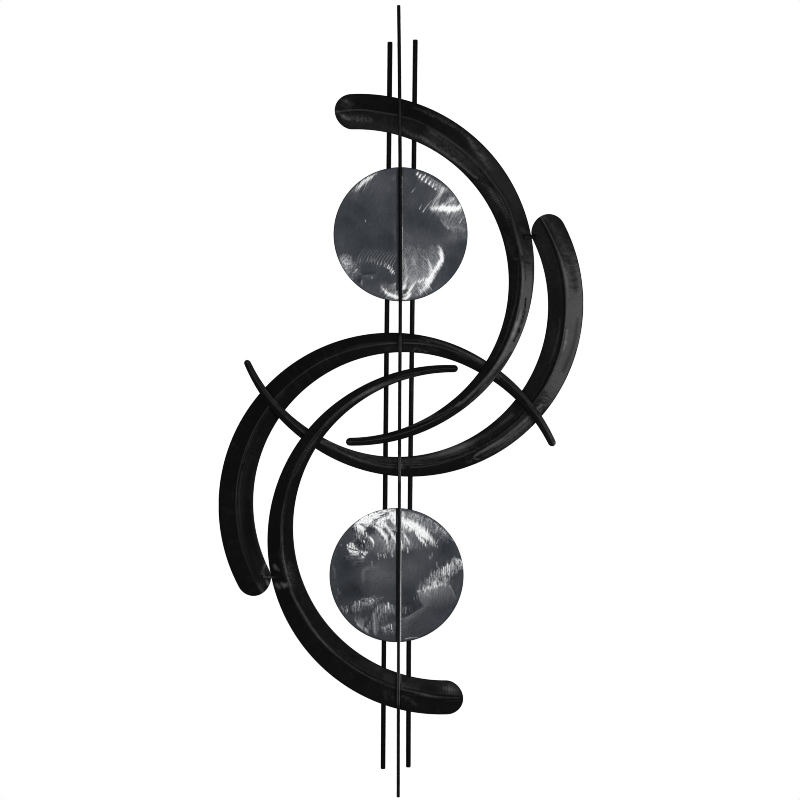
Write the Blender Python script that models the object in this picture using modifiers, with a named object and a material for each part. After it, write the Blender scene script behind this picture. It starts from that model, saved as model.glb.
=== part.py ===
"""Abstract welded wall sculpture: four folded crescents, two ground discs, three rods.

Frame: metres, +Z up.  The wall is the plane Y = 0 and the sculpture stands out from it
towards -Y.  The origin is the middle of the upper hanger strap's back face, on the wall.
"Depth" below is the distance out from the wall, so Y = -depth.
"""
import math

import bmesh
import bpy

# ---------------------------------------------------------------- driving dimensions (m)
GAP = 0.0003                 # clearance where two pieces touch

SHEET = 0.0016               # crescent and disc sheet, 16 gauge
SIDE_ROD_R = 0.0035          # 7 mm bar, paint included
CENTRE_ROD_R = 0.00238       # 3/16 in bar
LINK_R = 0.00210
DISC_R = 0.1032

STRAP_T = 0.0030             # hanger strap, flat bar
STRAP_W = 0.0200
STRAP_L = 0.0880
STRAP_HOLE_R = 0.0025
STRAP_HOLE_X = 0.0360

SIDE_ROD_DEPTH = STRAP_T + GAP + SIDE_ROD_R                  # axis of the side rods
SEAT_DEPTH = SIDE_ROD_DEPTH + SIDE_ROD_R + GAP               # what lies on the side rods
CENTRE_ROD_DEPTH = 0.02333                                   # axis of the centre rod

# rods as (X, Z) points on their axes, top to bottom; each has a slight natural bow
ROD_LEFT = [(-0.01618, 0.29776), (-0.01801, 0.11470), (-0.02094, -0.13164),
            (-0.02371, -0.40876), (-0.02556, -0.63201), (-0.02691, -0.82245)]
ROD_RIGHT = [(0.02279, 0.30115), (0.02063, 0.11470), (0.01801, -0.13164),
             (0.01470, -0.40876), (0.01270, -0.63970), (0.01209, -0.81999)]
ROD_CENTRE = [(-0.00277, 0.35365), (-0.00139, 0.22247), (-0.00046, 0.05312),
              (-0.00038, -0.11624), (-0.00123, -0.25480), (-0.00169, -0.40876),
              (-0.00308, -0.63970), (-0.00354, -0.86556)]

DISC_UPPER = (0.0001, 0.0012)
DISC_LOWER = (-0.0061, -0.5237)
STRAP_LOWER_Z = -0.52516

# Each crescent is the space between two circles that nearly touch at its tail.  Centres
# are (X, Z), radii in metres, angles in degrees about the outer circle's centre, counter-
# clockwise from +X as seen from the front.  "open" lets the tail spring outwards a little
# at the outer and the inner edge.  "plane" is the depth of its back edges: at a reference
# point (X, Z), then the slope along X and along Z.
CRESCENTS = {
    "crescent_upper_right": dict(
        outer=(-0.06312, -0.05158, 0.26896), inner=(-0.06820, -0.07205, 0.23479),
        tip=98.99, tail=-94.45, open=(0.0043, 0.0058),
        plane=(SEAT_DEPTH, 0.0, 0.2132, 0.0, -0.0310)),
    "crescent_right_lower": dict(
        outer=(0.01493, -0.10546, 0.26650), inner=(-0.00539, -0.10900, 0.23263),
        tip=33.74, tail=-160.94, open=(0.0055, 0.0092),
        plane=(SEAT_DEPTH + 0.0011, 0.0, -0.3549, -0.0262, 0.0302)),
    "crescent_left_upper": dict(
        outer=(-0.01416, -0.41646, 0.26604), inner=(0.00446, -0.41169, 0.23128),
        tip=-145.78, tail=-339.84, open=(0.0055, 0.0098),
        plane=(SEAT_DEPTH + 0.0011, 0.0, -0.1670, 0.0262, -0.0302)),
    "crescent_lower_left": dict(
        outer=(0.06251, -0.47096, 0.26727), inner=(0.06928, -0.45110, 0.23463),
        tip=-82.00, tail=-275.54, open=(0.0043, 0.0058),
        plane=(SEAT_DEPTH, 0.0, -0.7344, 0.0, 0.0310)),
}
FOLD_WIDE = 0.27             # slope of each half of the fold, at the wide end
FOLD_TAIL = 0.42             # and at the tail
RIDGE_R = 0.0030             # half-width of the rounded ridge
STATIONS = 56                # sections along a crescent
CAP_STATIONS = 9             # of which the rounded wide end has these
OPEN_SPAN = 40.0             # degrees over which the tail springs open


# ---------------------------------------------------------------- scene
for obj in list(bpy.data.objects):
    bpy.data.objects.remove(obj, do_unlink=True)

parts = bpy.data.collections.new("metal_wall_art")
bpy.context.scene.collection.children.link(parts)
cutters = bpy.data.collections.new("cutters")
bpy.context.scene.collection.children.link(cutters)


def material(name, color, rough, metal):
    mat = bpy.data.materials.new(name)
    mat.use_nodes = True
    bsdf = mat.node_tree.nodes["Principled BSDF"]
    bsdf.inputs["Base Color"].default_value = (*color, 1.0)
    bsdf.inputs["Roughness"].default_value = rough
    bsdf.inputs["Metallic"].default_value = metal
    mat.diffuse_color = (*color, 1.0)
    return mat


def move_to(obj, coll):
    for c in list(obj.users_collection):
        c.objects.unlink(obj)
    coll.objects.link(obj)


def finish_mesh(obj, angle=30.0):
    obj.data.shade_smooth()
    obj.data.set_sharp_from_angle(angle=math.radians(angle))


# ---------------------------------------------------------------- crescents
def polar(c, angle):
    a = math.radians(angle)
    return c[0] + math.cos(a), c[1] + math.sin(a)


def edge_radii(spec, angle):
    """Inner and outer radius at an angle, both about the outer circle's centre."""
    ox, oz, outer_r = spec["outer"]
    ix, iz, inner_r = spec["inner"]
    ux, uz = math.cos(math.radians(angle)), math.sin(math.radians(angle))
    b = (ox - ix) * ux + (oz - iz) * uz
    c = (ox - ix) ** 2 + (oz - iz) ** 2 - inner_r ** 2
    inner = -b + math.sqrt(b * b - c)
    s = max(0.0, 1.0 - (angle - spec["tail"]) / OPEN_SPAN)
    k = s ** 1.6
    return inner + spec["open"][1] * k, outer_r + spec["open"][0] * k


def mid_point(spec, angle):
    inner, outer = edge_radii(spec, angle)
    r = 0.5 * (inner + outer)
    a = math.radians(angle)
    return (spec["outer"][0] + r * math.cos(a), spec["outer"][1] + r * math.sin(a),
            0.5 * (outer - inner))


def plane_depth(spec, x, z):
    d0, px, pz, sx, sz = spec["plane"]
    return d0 + sx * (x - px) + sz * (z - pz)


def fold_slope(spec, angle):
    t = (spec["tip"] - angle) / (spec["tip"] - spec["tail"])
    return FOLD_WIDE + (FOLD_TAIL - FOLD_WIDE) * t


def stations(spec):
    """Angles of the sections, closer together round the wide end and at the tail tip."""
    _, _, half = mid_point(spec, spec["tip"] - 6.0)
    r = 0.93 * spec["outer"][2]
    cap = math.degrees(half / r)
    _, _, half_tail = mid_point(spec, spec["tail"])
    tail_cap = math.degrees(half_tail / r)
    out = []
    for i in range(CAP_STATIONS):
        f = 1.0 - math.cos(0.5 * math.pi * (i + 0.25) / CAP_STATIONS)
        out.append((spec["tip"] - cap * f, math.sqrt(max(0.0, 1.0 - (1.0 - f) ** 2))))
    a0, a1 = spec["tip"] - cap, spec["tail"] + tail_cap
    n = STATIONS - CAP_STATIONS - 4
    for i in range(n + 1):
        out.append((a0 + (a1 - a0) * i / n, 1.0))
    for i in range(1, 5):
        f = math.sin(0.5 * math.pi * i / 4.3)
        out.append((a1 - tail_cap * f, math.sqrt(1.0 - f * f)))
    return out


def crescent(name, spec, mat):
    """Front surface as an open grid, thickened towards the wall."""
    bm = bmesh.new()
    rows = []
    ox, oz, _ = spec["outer"]
    for angle, scale in stations(spec):
        cx, cz, full = mid_point(spec, angle)
        ux, uz = math.cos(math.radians(angle)), math.sin(math.radians(angle))
        half = full * scale
        slope = fold_slope(spec, angle)
        row = []
        r = min(RIDGE_R, 0.45 * half)
        for u in (-half, -0.5 * (half + r), -r, -0.45 * r, 0.45 * r, r,
                  0.5 * (half + r), half):
            x, z = cx + u * ux, cz + u * uz
            # rounded ridge: a parabola that meets both slopes
            drop = slope * abs(u) if abs(u) >= r else slope * (u * u + r * r) / (2.0 * r)
            depth = plane_depth(spec, cx, cz) + SHEET + slope * full - drop
            depth += spec["plane"][3] * (x - cx) + spec["plane"][4] * (z - cz)
            row.append(bm.verts.new((x, -depth, z)))
        rows.append(row)
    for a, b in zip(rows, rows[1:]):
        for i in range(len(a) - 1):
            bm.faces.new((a[i], a[i + 1], b[i + 1], b[i]))
    bmesh.ops.recalc_face_normals(bm, faces=bm.faces)
    if sum(f.normal.y for f in bm.faces) > 0.0:
        bmesh.ops.reverse_faces(bm, faces=bm.faces)
    mesh = bpy.data.meshes.new(name)
    bm.to_mesh(mesh)
    bm.free()
    obj = bpy.data.objects.new(name, mesh)
    parts.objects.link(obj)
    mesh.materials.append(mat)
    solid = obj.modifiers.new("sheet", "SOLIDIFY")
    solid.thickness = SHEET
    solid.offset = -1.0
    solid.use_even_offset = True
    solid.use_rim = True
    finish_mesh(obj, 35.0)
    return obj


# ---------------------------------------------------------------- discs, rods, straps
def disc(name, centre, mat):
    bpy.ops.mesh.primitive_cylinder_add(vertices=96, radius=DISC_R, depth=SHEET,
                                        location=(0.0, 0.0, 0.0))
    obj = bpy.context.object
    obj.name = obj.data.name = name
    move_to(obj, parts)
    obj.location = (centre[0], -(SEAT_DEPTH + 0.5 * SHEET), centre[1])
    obj.rotation_euler = (math.radians(90.0), 0.0, 0.0)
    obj.data.materials.append(mat)
    bev = obj.modifiers.new("broken edge", "BEVEL")
    bev.width = 0.0003
    bev.segments = 1
    bev.limit_method = "ANGLE"
    finish_mesh(obj)
    return obj


def rod(name, points, depth, radius, mat, sides=2):
    """Round bar along points (X, Z), or (X, depth, Z) where depth is None."""
    curve = bpy.data.curves.new(name, "CURVE")
    curve.dimensions = "3D"
    curve.bevel_depth = radius
    curve.bevel_resolution = sides
    curve.use_fill_caps = True
    spline = curve.splines.new("POLY")
    spline.points.add(len(points) - 1)
    for p, q in zip(spline.points, points):
        x, d, z = (q[0], depth, q[1]) if depth is not None else q
        p.co = (x, -d, z, 1.0)
    obj = bpy.data.objects.new(name, curve)
    parts.objects.link(obj)
    curve.materials.append(mat)
    return obj


def strap(name, centre, mat):
    """Flat bar across the backs of the side rods, a screw hole at each end."""
    bpy.ops.mesh.primitive_cube_add(size=1.0)
    obj = bpy.context.object
    obj.name = obj.data.name = name
    move_to(obj, parts)
    bm = bmesh.new()
    bm.from_mesh(obj.data)
    bmesh.ops.scale(bm, vec=(STRAP_L, STRAP_T, STRAP_W), verts=bm.verts)
    ends = [e for e in bm.edges
            if abs(e.verts[0].co.x - e.verts[1].co.x) < 1e-6
            and abs(e.verts[0].co.z - e.verts[1].co.z) < 1e-6]
    bmesh.ops.bevel(bm, geom=ends, offset=0.0045, segments=5, affect="EDGES", profile=0.5)
    bm.to_mesh(obj.data)
    bm.free()
    obj.location = (centre[0], -0.5 * STRAP_T, centre[1])
    obj.data.materials.append(mat)
    for side in (-1.0, 1.0):
        bpy.ops.mesh.primitive_cylinder_add(vertices=24, radius=STRAP_HOLE_R,
                                            depth=4.0 * STRAP_T)
        cut = bpy.context.object
        cut.name = name + ("_hole_left" if side < 0 else "_hole_right")
        move_to(cut, cutters)
        cut.location = (centre[0] + side * STRAP_HOLE_X, -0.5 * STRAP_T, centre[1])
        cut.rotation_euler = (math.radians(90.0), 0.0, 0.0)
        cut.hide_render = True
        cut.display_type = "WIRE"
        boolean = obj.modifiers.new("screw hole", "BOOLEAN")
        boolean.operation = "DIFFERENCE"
        boolean.object = cut
    finish_mesh(obj)
    return obj


def front_depth(spec, x, z):
    """Depth of a crescent's front surface at a point inside its outline."""
    ox, oz, _ = spec["outer"]
    angle = math.degrees(math.atan2(z - oz, x - ox))
    while angle > spec["tip"]:
        angle -= 360.0
    while angle < spec["tail"] - 1.0:
        angle += 360.0
    cx, cz, full = mid_point(spec, angle)
    u = math.hypot(x - ox, z - oz) - math.hypot(cx - ox, cz - oz)
    return plane_depth(spec, x, z) + SHEET + fold_slope(spec, angle) * (full - abs(u))


def link(name, left, right, mat):
    """Short bar lying on the fronts of two neighbouring crescents.
    left, right: (crescent name, X, Z) of its two ends."""
    ends = []
    for owner, x, z in (left, right):
        d = front_depth(CRESCENTS[owner], x, z)
        ends.append((x, d + 1.04 * LINK_R + 0.0006, z))
    return rod(name, ends, None, LINK_R, mat)


black = material("black_paint", (0.012, 0.012, 0.013), 0.38, 0.0)
black_b = material("black_paint_rods", (0.014, 0.014, 0.015), 0.42, 0.0)
steel = material("ground_steel", (0.16, 0.17, 0.185), 0.34, 1.0)
strap_mat = material("black_paint_straps", (0.015, 0.015, 0.016), 0.5, 0.0)

for key, value in CRESCENTS.items():
    crescent(key, value, black)
disc("disc_upper", DISC_UPPER, steel)
disc("disc_lower", DISC_LOWER, steel)
rod("rod_left", ROD_LEFT, SIDE_ROD_DEPTH, SIDE_ROD_R, black_b, 4)
rod("rod_right", ROD_RIGHT, SIDE_ROD_DEPTH, SIDE_ROD_R, black_b, 4)
rod("rod_centre", ROD_CENTRE, CENTRE_ROD_DEPTH, CENTRE_ROD_R, black_b, 4)
link("link_right", ("crescent_upper_right", 0.1910, -0.0032),
     ("crescent_right_lower", 0.2130, -0.0032), black_b)
link("link_left", ("crescent_left_upper", -0.2120, -0.5266),
     ("crescent_lower_left", -0.1915, -0.5266), black_b)
strap("hanger_strap_upper", (0.0, 0.0), strap_mat)
strap("hanger_strap_lower", (-0.0060, STRAP_LOWER_Z), strap_mat)
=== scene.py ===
"""Looks of the metal wall art: four folded crescents of black painted sheet, two swirl
ground steel discs, three painted rods, two short links and two hanger straps.

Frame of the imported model: metres, +Z up, wall plane Y = 0, the front looks along -Y.
"depth" is the distance out from the wall, so Y = -depth.
"""
import math

import bpy
import numpy as np
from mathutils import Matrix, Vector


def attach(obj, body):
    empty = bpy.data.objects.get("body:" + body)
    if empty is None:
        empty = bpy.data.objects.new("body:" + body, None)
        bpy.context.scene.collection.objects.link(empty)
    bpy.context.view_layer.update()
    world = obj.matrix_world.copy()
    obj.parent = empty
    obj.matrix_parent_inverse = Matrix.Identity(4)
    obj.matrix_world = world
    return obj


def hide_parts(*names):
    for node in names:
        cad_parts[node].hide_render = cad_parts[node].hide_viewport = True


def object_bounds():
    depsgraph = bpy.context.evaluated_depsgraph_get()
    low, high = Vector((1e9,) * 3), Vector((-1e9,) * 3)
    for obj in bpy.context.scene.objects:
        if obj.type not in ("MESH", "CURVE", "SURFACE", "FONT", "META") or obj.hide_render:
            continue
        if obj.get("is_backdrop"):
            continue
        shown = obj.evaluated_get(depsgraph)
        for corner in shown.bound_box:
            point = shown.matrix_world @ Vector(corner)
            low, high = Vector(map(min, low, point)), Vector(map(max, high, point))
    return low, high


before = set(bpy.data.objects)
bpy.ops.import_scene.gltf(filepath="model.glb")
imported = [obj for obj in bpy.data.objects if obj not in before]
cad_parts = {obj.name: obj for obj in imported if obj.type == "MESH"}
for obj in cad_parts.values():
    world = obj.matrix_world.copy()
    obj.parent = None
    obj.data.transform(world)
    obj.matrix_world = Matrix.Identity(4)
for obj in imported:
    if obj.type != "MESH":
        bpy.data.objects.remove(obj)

CAD_LO, CAD_HI = (list(v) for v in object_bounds())
scene = bpy.context.scene

# ------------------------------------------------------------------ the work's own sizes
SHEET = 0.0016
SIDE_ROD_R = 0.0035
CENTRE_ROD_R = 0.00238
LINK_R = 0.00210
DISC_R = 0.1032
STRAP_T = 0.0030
STRAP_W = 0.0200
STRAP_L = 0.0880
STRAP_HOLE_R = 0.0025
STRAP_HOLE_X = 0.0360
GAP = 0.0003
SIDE_ROD_DEPTH = STRAP_T + GAP + SIDE_ROD_R
SEAT_DEPTH = SIDE_ROD_DEPTH + SIDE_ROD_R + GAP
CENTRE_ROD_DEPTH = 0.02333

ROD_LEFT = [(-0.01618, 0.29776), (-0.01801, 0.11470), (-0.02094, -0.13164),
            (-0.02371, -0.40876), (-0.02556, -0.63201), (-0.02691, -0.82245)]
ROD_RIGHT = [(0.02279, 0.30115), (0.02063, 0.11470), (0.01801, -0.13164),
             (0.01470, -0.40876), (0.01270, -0.63970), (0.01209, -0.81999)]
ROD_CENTRE = [(-0.00277, 0.35365), (-0.00139, 0.22247), (-0.00046, 0.05312),
              (-0.00038, -0.11624), (-0.00123, -0.25480), (-0.00169, -0.40876),
              (-0.00308, -0.63970), (-0.00354, -0.86556)]
DISC_UPPER = (0.0001, 0.0012)
DISC_LOWER = (-0.0061, -0.5237)
STRAP_LOWER = (-0.0060, -0.52516)

CRESCENTS = {
    "crescent_upper_right": dict(
        outer=(-0.06312, -0.05158, 0.26896), inner=(-0.06820, -0.07205, 0.23479),
        tip=98.99, tail=-94.45, open=(0.0043, 0.0058),
        plane=(SEAT_DEPTH, 0.0, 0.2132, 0.0, -0.0310)),
    "crescent_right_lower": dict(
        outer=(0.01493, -0.10546, 0.26650), inner=(-0.00539, -0.10900, 0.23263),
        tip=33.74, tail=-160.94, open=(0.0055, 0.0092),
        plane=(SEAT_DEPTH + 0.0011, 0.0, -0.3549, -0.0262, 0.0302)),
    "crescent_left_upper": dict(
        outer=(-0.01416, -0.41646, 0.26604), inner=(0.00446, -0.41169, 0.23128),
        tip=-145.78, tail=-339.84, open=(0.0055, 0.0098),
        plane=(SEAT_DEPTH + 0.0011, 0.0, -0.1670, 0.0262, -0.0302)),
    "crescent_lower_left": dict(
        outer=(0.06251, -0.47096, 0.26727), inner=(0.06928, -0.45110, 0.23463),
        tip=-82.00, tail=-275.54, open=(0.0043, 0.0058),
        plane=(SEAT_DEPTH, 0.0, -0.7344, 0.0, 0.0310)),
}
FOLD_WIDE = 0.27
FOLD_TAIL = 0.42
OPEN_SPAN = 40.0


# ------------------------------------------------------------------ seeded noise in numpy
def lattice(ix, iy, seed):
    """A steady pseudo-random number from -1 to 1 for each whole-number point."""
    h = (ix.astype(np.int64) * 374761393 + iy.astype(np.int64) * 668265263
         + int(seed) * 2147483647) & 0xFFFFFFFF
    h = ((h ^ (h >> 13)) * 1274126177) & 0xFFFFFFFF
    h = ((h ^ (h >> 15)) * 2246822519) & 0xFFFFFFFF
    h = h ^ (h >> 16)
    return h.astype(np.float64) / 2147483647.5 - 1.0


def noise(x, y, seed=0):
    """Smooth value noise."""
    x, y = np.broadcast_arrays(np.asarray(x, float), np.asarray(y, float))
    fx, fy = np.floor(x), np.floor(y)
    tx, ty = x - fx, y - fy
    ix, iy = fx.astype(np.int64), fy.astype(np.int64)
    sx = tx * tx * tx * (tx * (tx * 6 - 15) + 10)
    sy = ty * ty * ty * (ty * (ty * 6 - 15) + 10)
    a = lattice(ix, iy, seed)
    b = lattice(ix + 1, iy, seed)
    c = lattice(ix, iy + 1, seed)
    d = lattice(ix + 1, iy + 1, seed)
    return (a * (1 - sx) + b * sx) * (1 - sy) + (c * (1 - sx) + d * sx) * sy


def fbm(x, y, seed=0, octaves=4, fall=0.5):
    total, amp, norm = 0.0, 1.0, 0.0
    for k in range(octaves):
        total = total + amp * noise(x * 2 ** k + 17.3 * k, y * 2 ** k - 9.1 * k, seed + k)
        norm += amp
        amp *= fall
    return total / norm


def smooth(a, b, x):
    t = np.clip((np.asarray(x, float) - a) / (b - a), 0.0, 1.0)
    return t * t * (3.0 - 2.0 * t)


def bump(x, centre, width):
    """A soft hill, 1 at the centre, near 0 at twice the width."""
    return np.exp(-((np.asarray(x, float) - centre) / width) ** 2)


# ------------------------------------------------------------------ mesh helpers
def make_mesh(name, verts, faces, attributes=None, smooth_faces=True):
    """A mesh object from arrays; faces is a list of index tuples or an (n, 3|4) array."""
    verts = np.asarray(verts, float)
    verts = np.clip(verts, np.array(CAD_LO) + 1e-5, np.array(CAD_HI) - 1e-5)
    mesh = bpy.data.meshes.new(name)
    mesh.from_pydata([tuple(v) for v in verts], [], [tuple(int(i) for i in f) for f in faces])
    mesh.validate(verbose=False)
    if smooth_faces:
        mesh.shade_smooth()
    for key, values in (attributes or {}).items():
        layer = mesh.attributes.new(key, "FLOAT", "POINT")
        layer.data.foreach_set("value", np.asarray(values, np.float32).ravel())
    obj = bpy.data.objects.new(name, mesh)
    scene.collection.objects.link(obj)
    mesh.update()
    return obj


def grid_faces(rows, cols, start=0, flip=False, wrap=False):
    i = np.arange(rows - 1)[:, None]
    j = np.arange(cols if wrap else cols - 1)[None, :]
    k = (j + 1) % cols
    a = start + i * cols + j
    b = start + i * cols + k
    c = start + (i + 1) * cols + k
    d = start + (i + 1) * cols + j
    f = np.stack([a, b, c, d] if not flip else [a, d, c, b], -1)
    return f.reshape(-1, 4)


def settle(obj, node, material):
    obj.data.materials.clear()
    obj.data.materials.append(material)
    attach(obj, "root")
    if node:
        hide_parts(node)
    return obj


# ------------------------------------------------------------------ materials
class Nodes:
    """Small helper for building node trees."""

    def __init__(self, tree):
        self.tree = tree

    def add(self, kind, **settings):
        node = self.tree.nodes.new(kind)
        for key, value in settings.items():
            setattr(node, key, value)
        return node

    def link(self, a, b):
        self.tree.links.new(a, b)

    def attribute(self, name):
        return self.add("ShaderNodeAttribute", attribute_name=name).outputs["Fac"]

    def position(self):
        return self.add("ShaderNodeTexCoord").outputs["Object"]

    def noise(self, vector, scale, detail=3.0, rough=0.5, distort=0.0):
        n = self.add("ShaderNodeTexNoise")
        n.inputs["Scale"].default_value = scale
        n.inputs["Detail"].default_value = detail
        n.inputs["Roughness"].default_value = rough
        n.inputs["Distortion"].default_value = distort
        self.link(vector, n.inputs["Vector"])
        return n.outputs["Fac"]

    def math(self, op, a, b=None, c=None):
        n = self.add("ShaderNodeMath", operation=op)
        for k, v in enumerate((a, b, c)):
            if v is None:
                continue
            if isinstance(v, (int, float)):
                n.inputs[k].default_value = v
            else:
                self.link(v, n.inputs[k])
        return n.outputs[0]

    def ramp(self, value, stops):
        n = self.add("ShaderNodeValToRGB")
        els = n.color_ramp.elements
        while len(els) < len(stops):
            els.new(0.5)
        for el, (pos, col) in zip(els, stops):
            el.position = pos
            el.color = (*col, 1.0) if len(col) == 3 else col
        self.link(value, n.inputs["Fac"])
        return n.outputs["Color"]

    def range(self, value, a, b, c, d):
        n = self.add("ShaderNodeMapRange")
        for k, v in zip(("From Min", "From Max", "To Min", "To Max"), (a, b, c, d)):
            n.inputs[k].default_value = v
        self.link(value, n.inputs["Value"])
        return n.outputs["Result"]

    def mapping(self, vector, scale):
        n = self.add("ShaderNodeMapping")
        n.inputs["Scale"].default_value = scale
        self.link(vector, n.inputs["Vector"])
        return n.outputs["Vector"]


def new_material(name):
    mat = bpy.data.materials.new(name)
    mat.use_nodes = True
    tree = mat.node_tree
    tree.nodes.clear()
    t = Nodes(tree)
    out = t.add("ShaderNodeOutputMaterial")
    bsdf = t.add("ShaderNodeBsdfPrincipled")
    t.link(bsdf.outputs["BSDF"], out.inputs["Surface"])
    return mat, t, bsdf


def black_paint(name, rough=0.40, tint=(1.0, 1.0, 1.0), grain=900.0, ior=1.5):
    """Sprayed black enamel over hammered and brushed steel: a fine orange peel over a dull
    mottling. "tone" is the lightness painted on: dust and rubbed paint, and on the crescents
    and rods also painted highlights and painted shade; "gloss" how polished it is there."""
    mat, t, bsdf = new_material(name)
    p = t.position()
    tone = t.attribute("tone")
    gloss = t.attribute("gloss")
    mottled = t.noise(p, 95.0, 5.0, 0.62)
    fine = t.noise(p, grain, 3.0, 0.6)
    # tone, broken up by the mottling and the fine grain
    brk = t.math("MULTIPLY_ADD", t.math("SUBTRACT", mottled, 0.5), 0.7, 1.0)
    brk2 = t.math("MULTIPLY_ADD", t.math("SUBTRACT", fine, 0.5), 0.8, brk)
    value = t.math("MAXIMUM", t.math("MULTIPLY", tone, brk2), 0.004)
    # the enamel's cast shows only where it is dark; lighter places, dusty, rubbed or painted highlights, are neutral
    col = t.ramp(value, [(0.0, (0.0, 0.0, 0.0)), (0.025, tuple(0.025 * c for c in tint)),
                         (0.07, (0.07, 0.07, 0.07)), (1.0, (1.0, 1.0, 1.0))])
    t.link(col, bsdf.inputs["Base Color"])
    r = t.math("MULTIPLY_ADD", gloss, -0.30, rough)
    r = t.math("MULTIPLY_ADD", t.math("SUBTRACT", mottled, 0.5), 0.14, r)
    r = t.math("MAXIMUM", r, 0.10)
    t.link(r, bsdf.inputs["Roughness"])
    bsdf.inputs["Metallic"].default_value = 0.0
    bsdf.inputs["IOR"].default_value = ior
    height = t.math("MULTIPLY_ADD", fine, 0.35, t.math("MULTIPLY", mottled, 0.65))
    b = t.add("ShaderNodeBump")
    b.inputs["Strength"].default_value = 0.25
    b.inputs["Distance"].default_value = 0.00035
    t.link(height, b.inputs["Height"])
    t.link(b.outputs["Normal"], bsdf.inputs["Normal"])
    return mat


# What a brightness on the print needs as reflectance, and the warmth it has.
DISC_LIGHT = 0.93
WARMTH = [(0.20, 0.932, 0.985, 1.072), (0.25, 0.942, 0.988, 1.063), (0.305, 0.960, 0.988, 1.046),
          (0.38, 0.976, 0.993, 1.030), (0.49, 0.990, 0.997, 1.017), (0.67, 0.998, 0.999, 1.004),
          (0.86, 1.000, 0.998, 0.995), (0.95, 1.004, 1.000, 0.992)]
PRINT_GAMMA = 0.70


def reflectance(v):
    level, red, green, blue = zip(*WARMTH)
    out = []
    for warm in (red, green, blue):
        shown = min(v * float(np.interp(v, level, warm)), 1.0) ** PRINT_GAMMA
        linear = shown / 12.92 if shown <= 0.04045 else ((shown + 0.055) / 1.055) ** 2.4
        out.append(min(linear / DISC_LIGHT, 1.0))
    return tuple(out)


def ground_steel(name):
    """Steel ground with a coarse disc in overlapping sweeps: "shine" is its brightness, with the
    swirl's highlights painted in, "swirl" the distance across the scratches of the sweep that lies on top."""
    mat, t, bsdf = new_material(name)
    p = t.position()
    shine = t.attribute("shine")
    swirl = t.attribute("swirl")
    # one-dimensional noise across the sweep: fine parallel scratches
    n1 = t.add("ShaderNodeTexNoise", noise_dimensions="1D")
    n1.inputs["Scale"].default_value = 1150.0
    n1.inputs["Detail"].default_value = 3.0
    n1.inputs["Roughness"].default_value = 0.7
    t.link(swirl, n1.inputs["W"])
    scratch = n1.outputs["Fac"]
    fine = t.noise(p, 800.0, 3.0, 0.6)
    k = t.math("MULTIPLY_ADD", t.math("SUBTRACT", scratch, 0.5), 0.30, 1.0)
    k = t.math("MULTIPLY_ADD", t.math("SUBTRACT", fine, 0.5), 0.22, k)
    v = t.math("MULTIPLY", shine, k)
    stops = [0.0, 0.06, 0.12, 0.18, 0.24, 0.30, 0.37, 0.45, 0.55, 0.67, 0.80, 0.90, 1.0]
    col = t.ramp(v, [(at, reflectance(at)) for at in stops])
    t.link(col, bsdf.inputs["Base Color"])
    r = t.range(v, 0.2, 1.0, 0.34, 0.26)
    r = t.math("MULTIPLY_ADD", t.math("SUBTRACT", scratch, 0.5), 0.10, r)
    t.link(r, bsdf.inputs["Roughness"])
    bsdf.inputs["Metallic"].default_value = 0.72
    bsdf.inputs["IOR"].default_value = 1.45
    b = t.add("ShaderNodeBump")
    b.inputs["Strength"].default_value = 0.22
    b.inputs["Distance"].default_value = 0.00010
    t.link(scratch, b.inputs["Height"])
    t.link(b.outputs["Normal"], bsdf.inputs["Normal"])
    return mat


CRESCENT_PAINT = black_paint("crescent_paint")
ROD_PAINT = black_paint("rod_paint", 0.50, (0.94, 0.99, 1.14), 1400.0, 1.38)
STRAP_PAINT = black_paint("strap_paint", 0.48, (1.0, 1.0, 1.0), 1100.0)
STEEL = ground_steel("disc_steel")


# ------------------------------------------------------------------ crescents
def edge_radii(spec, angle):
    """Inner and outer radius at an angle, both about the outer circle's centre."""
    ox, oz, outer_r = spec["outer"]
    ix, iz, inner_r = spec["inner"]
    a = np.radians(angle)
    ux, uz = np.cos(a), np.sin(a)
    b = (ox - ix) * ux + (oz - iz) * uz
    c = (ox - ix) ** 2 + (oz - iz) ** 2 - inner_r ** 2
    inner = -b + np.sqrt(b * b - c)
    s = np.maximum(0.0, 1.0 - (angle - spec["tail"]) / OPEN_SPAN)
    k = s ** 1.6
    return inner + spec["open"][1] * k, outer_r + spec["open"][0] * k


def mid_point(spec, angle):
    inner, outer = edge_radii(spec, angle)
    r = 0.5 * (inner + outer)
    a = np.radians(angle)
    return (spec["outer"][0] + r * np.cos(a), spec["outer"][1] + r * np.sin(a),
            0.5 * (outer - inner))


def plane_depth(spec, x, z):
    d0, px, pz, sx, sz = spec["plane"]
    return d0 + sx * (x - px) + sz * (z - pz)


def fold_slope(spec, angle):
    t = (spec["tip"] - angle) / (spec["tip"] - spec["tail"])
    return FOLD_WIDE + (FOLD_TAIL - FOLD_WIDE) * t


def front_depth(spec, x, z):
    """Depth of a crescent's front surface at a point inside its outline."""
    ox, oz, _ = spec["outer"]
    angle = math.degrees(math.atan2(z - oz, x - ox))
    while angle > spec["tip"]:
        angle -= 360.0
    while angle < spec["tail"] - 1.0:
        angle += 360.0
    cx, cz, full = mid_point(spec, angle)
    u = math.hypot(x - ox, z - oz) - math.hypot(cx - ox, cz - oz)
    return float(plane_depth(spec, x, z) + SHEET + fold_slope(spec, angle) * (full - abs(u)))


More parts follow.
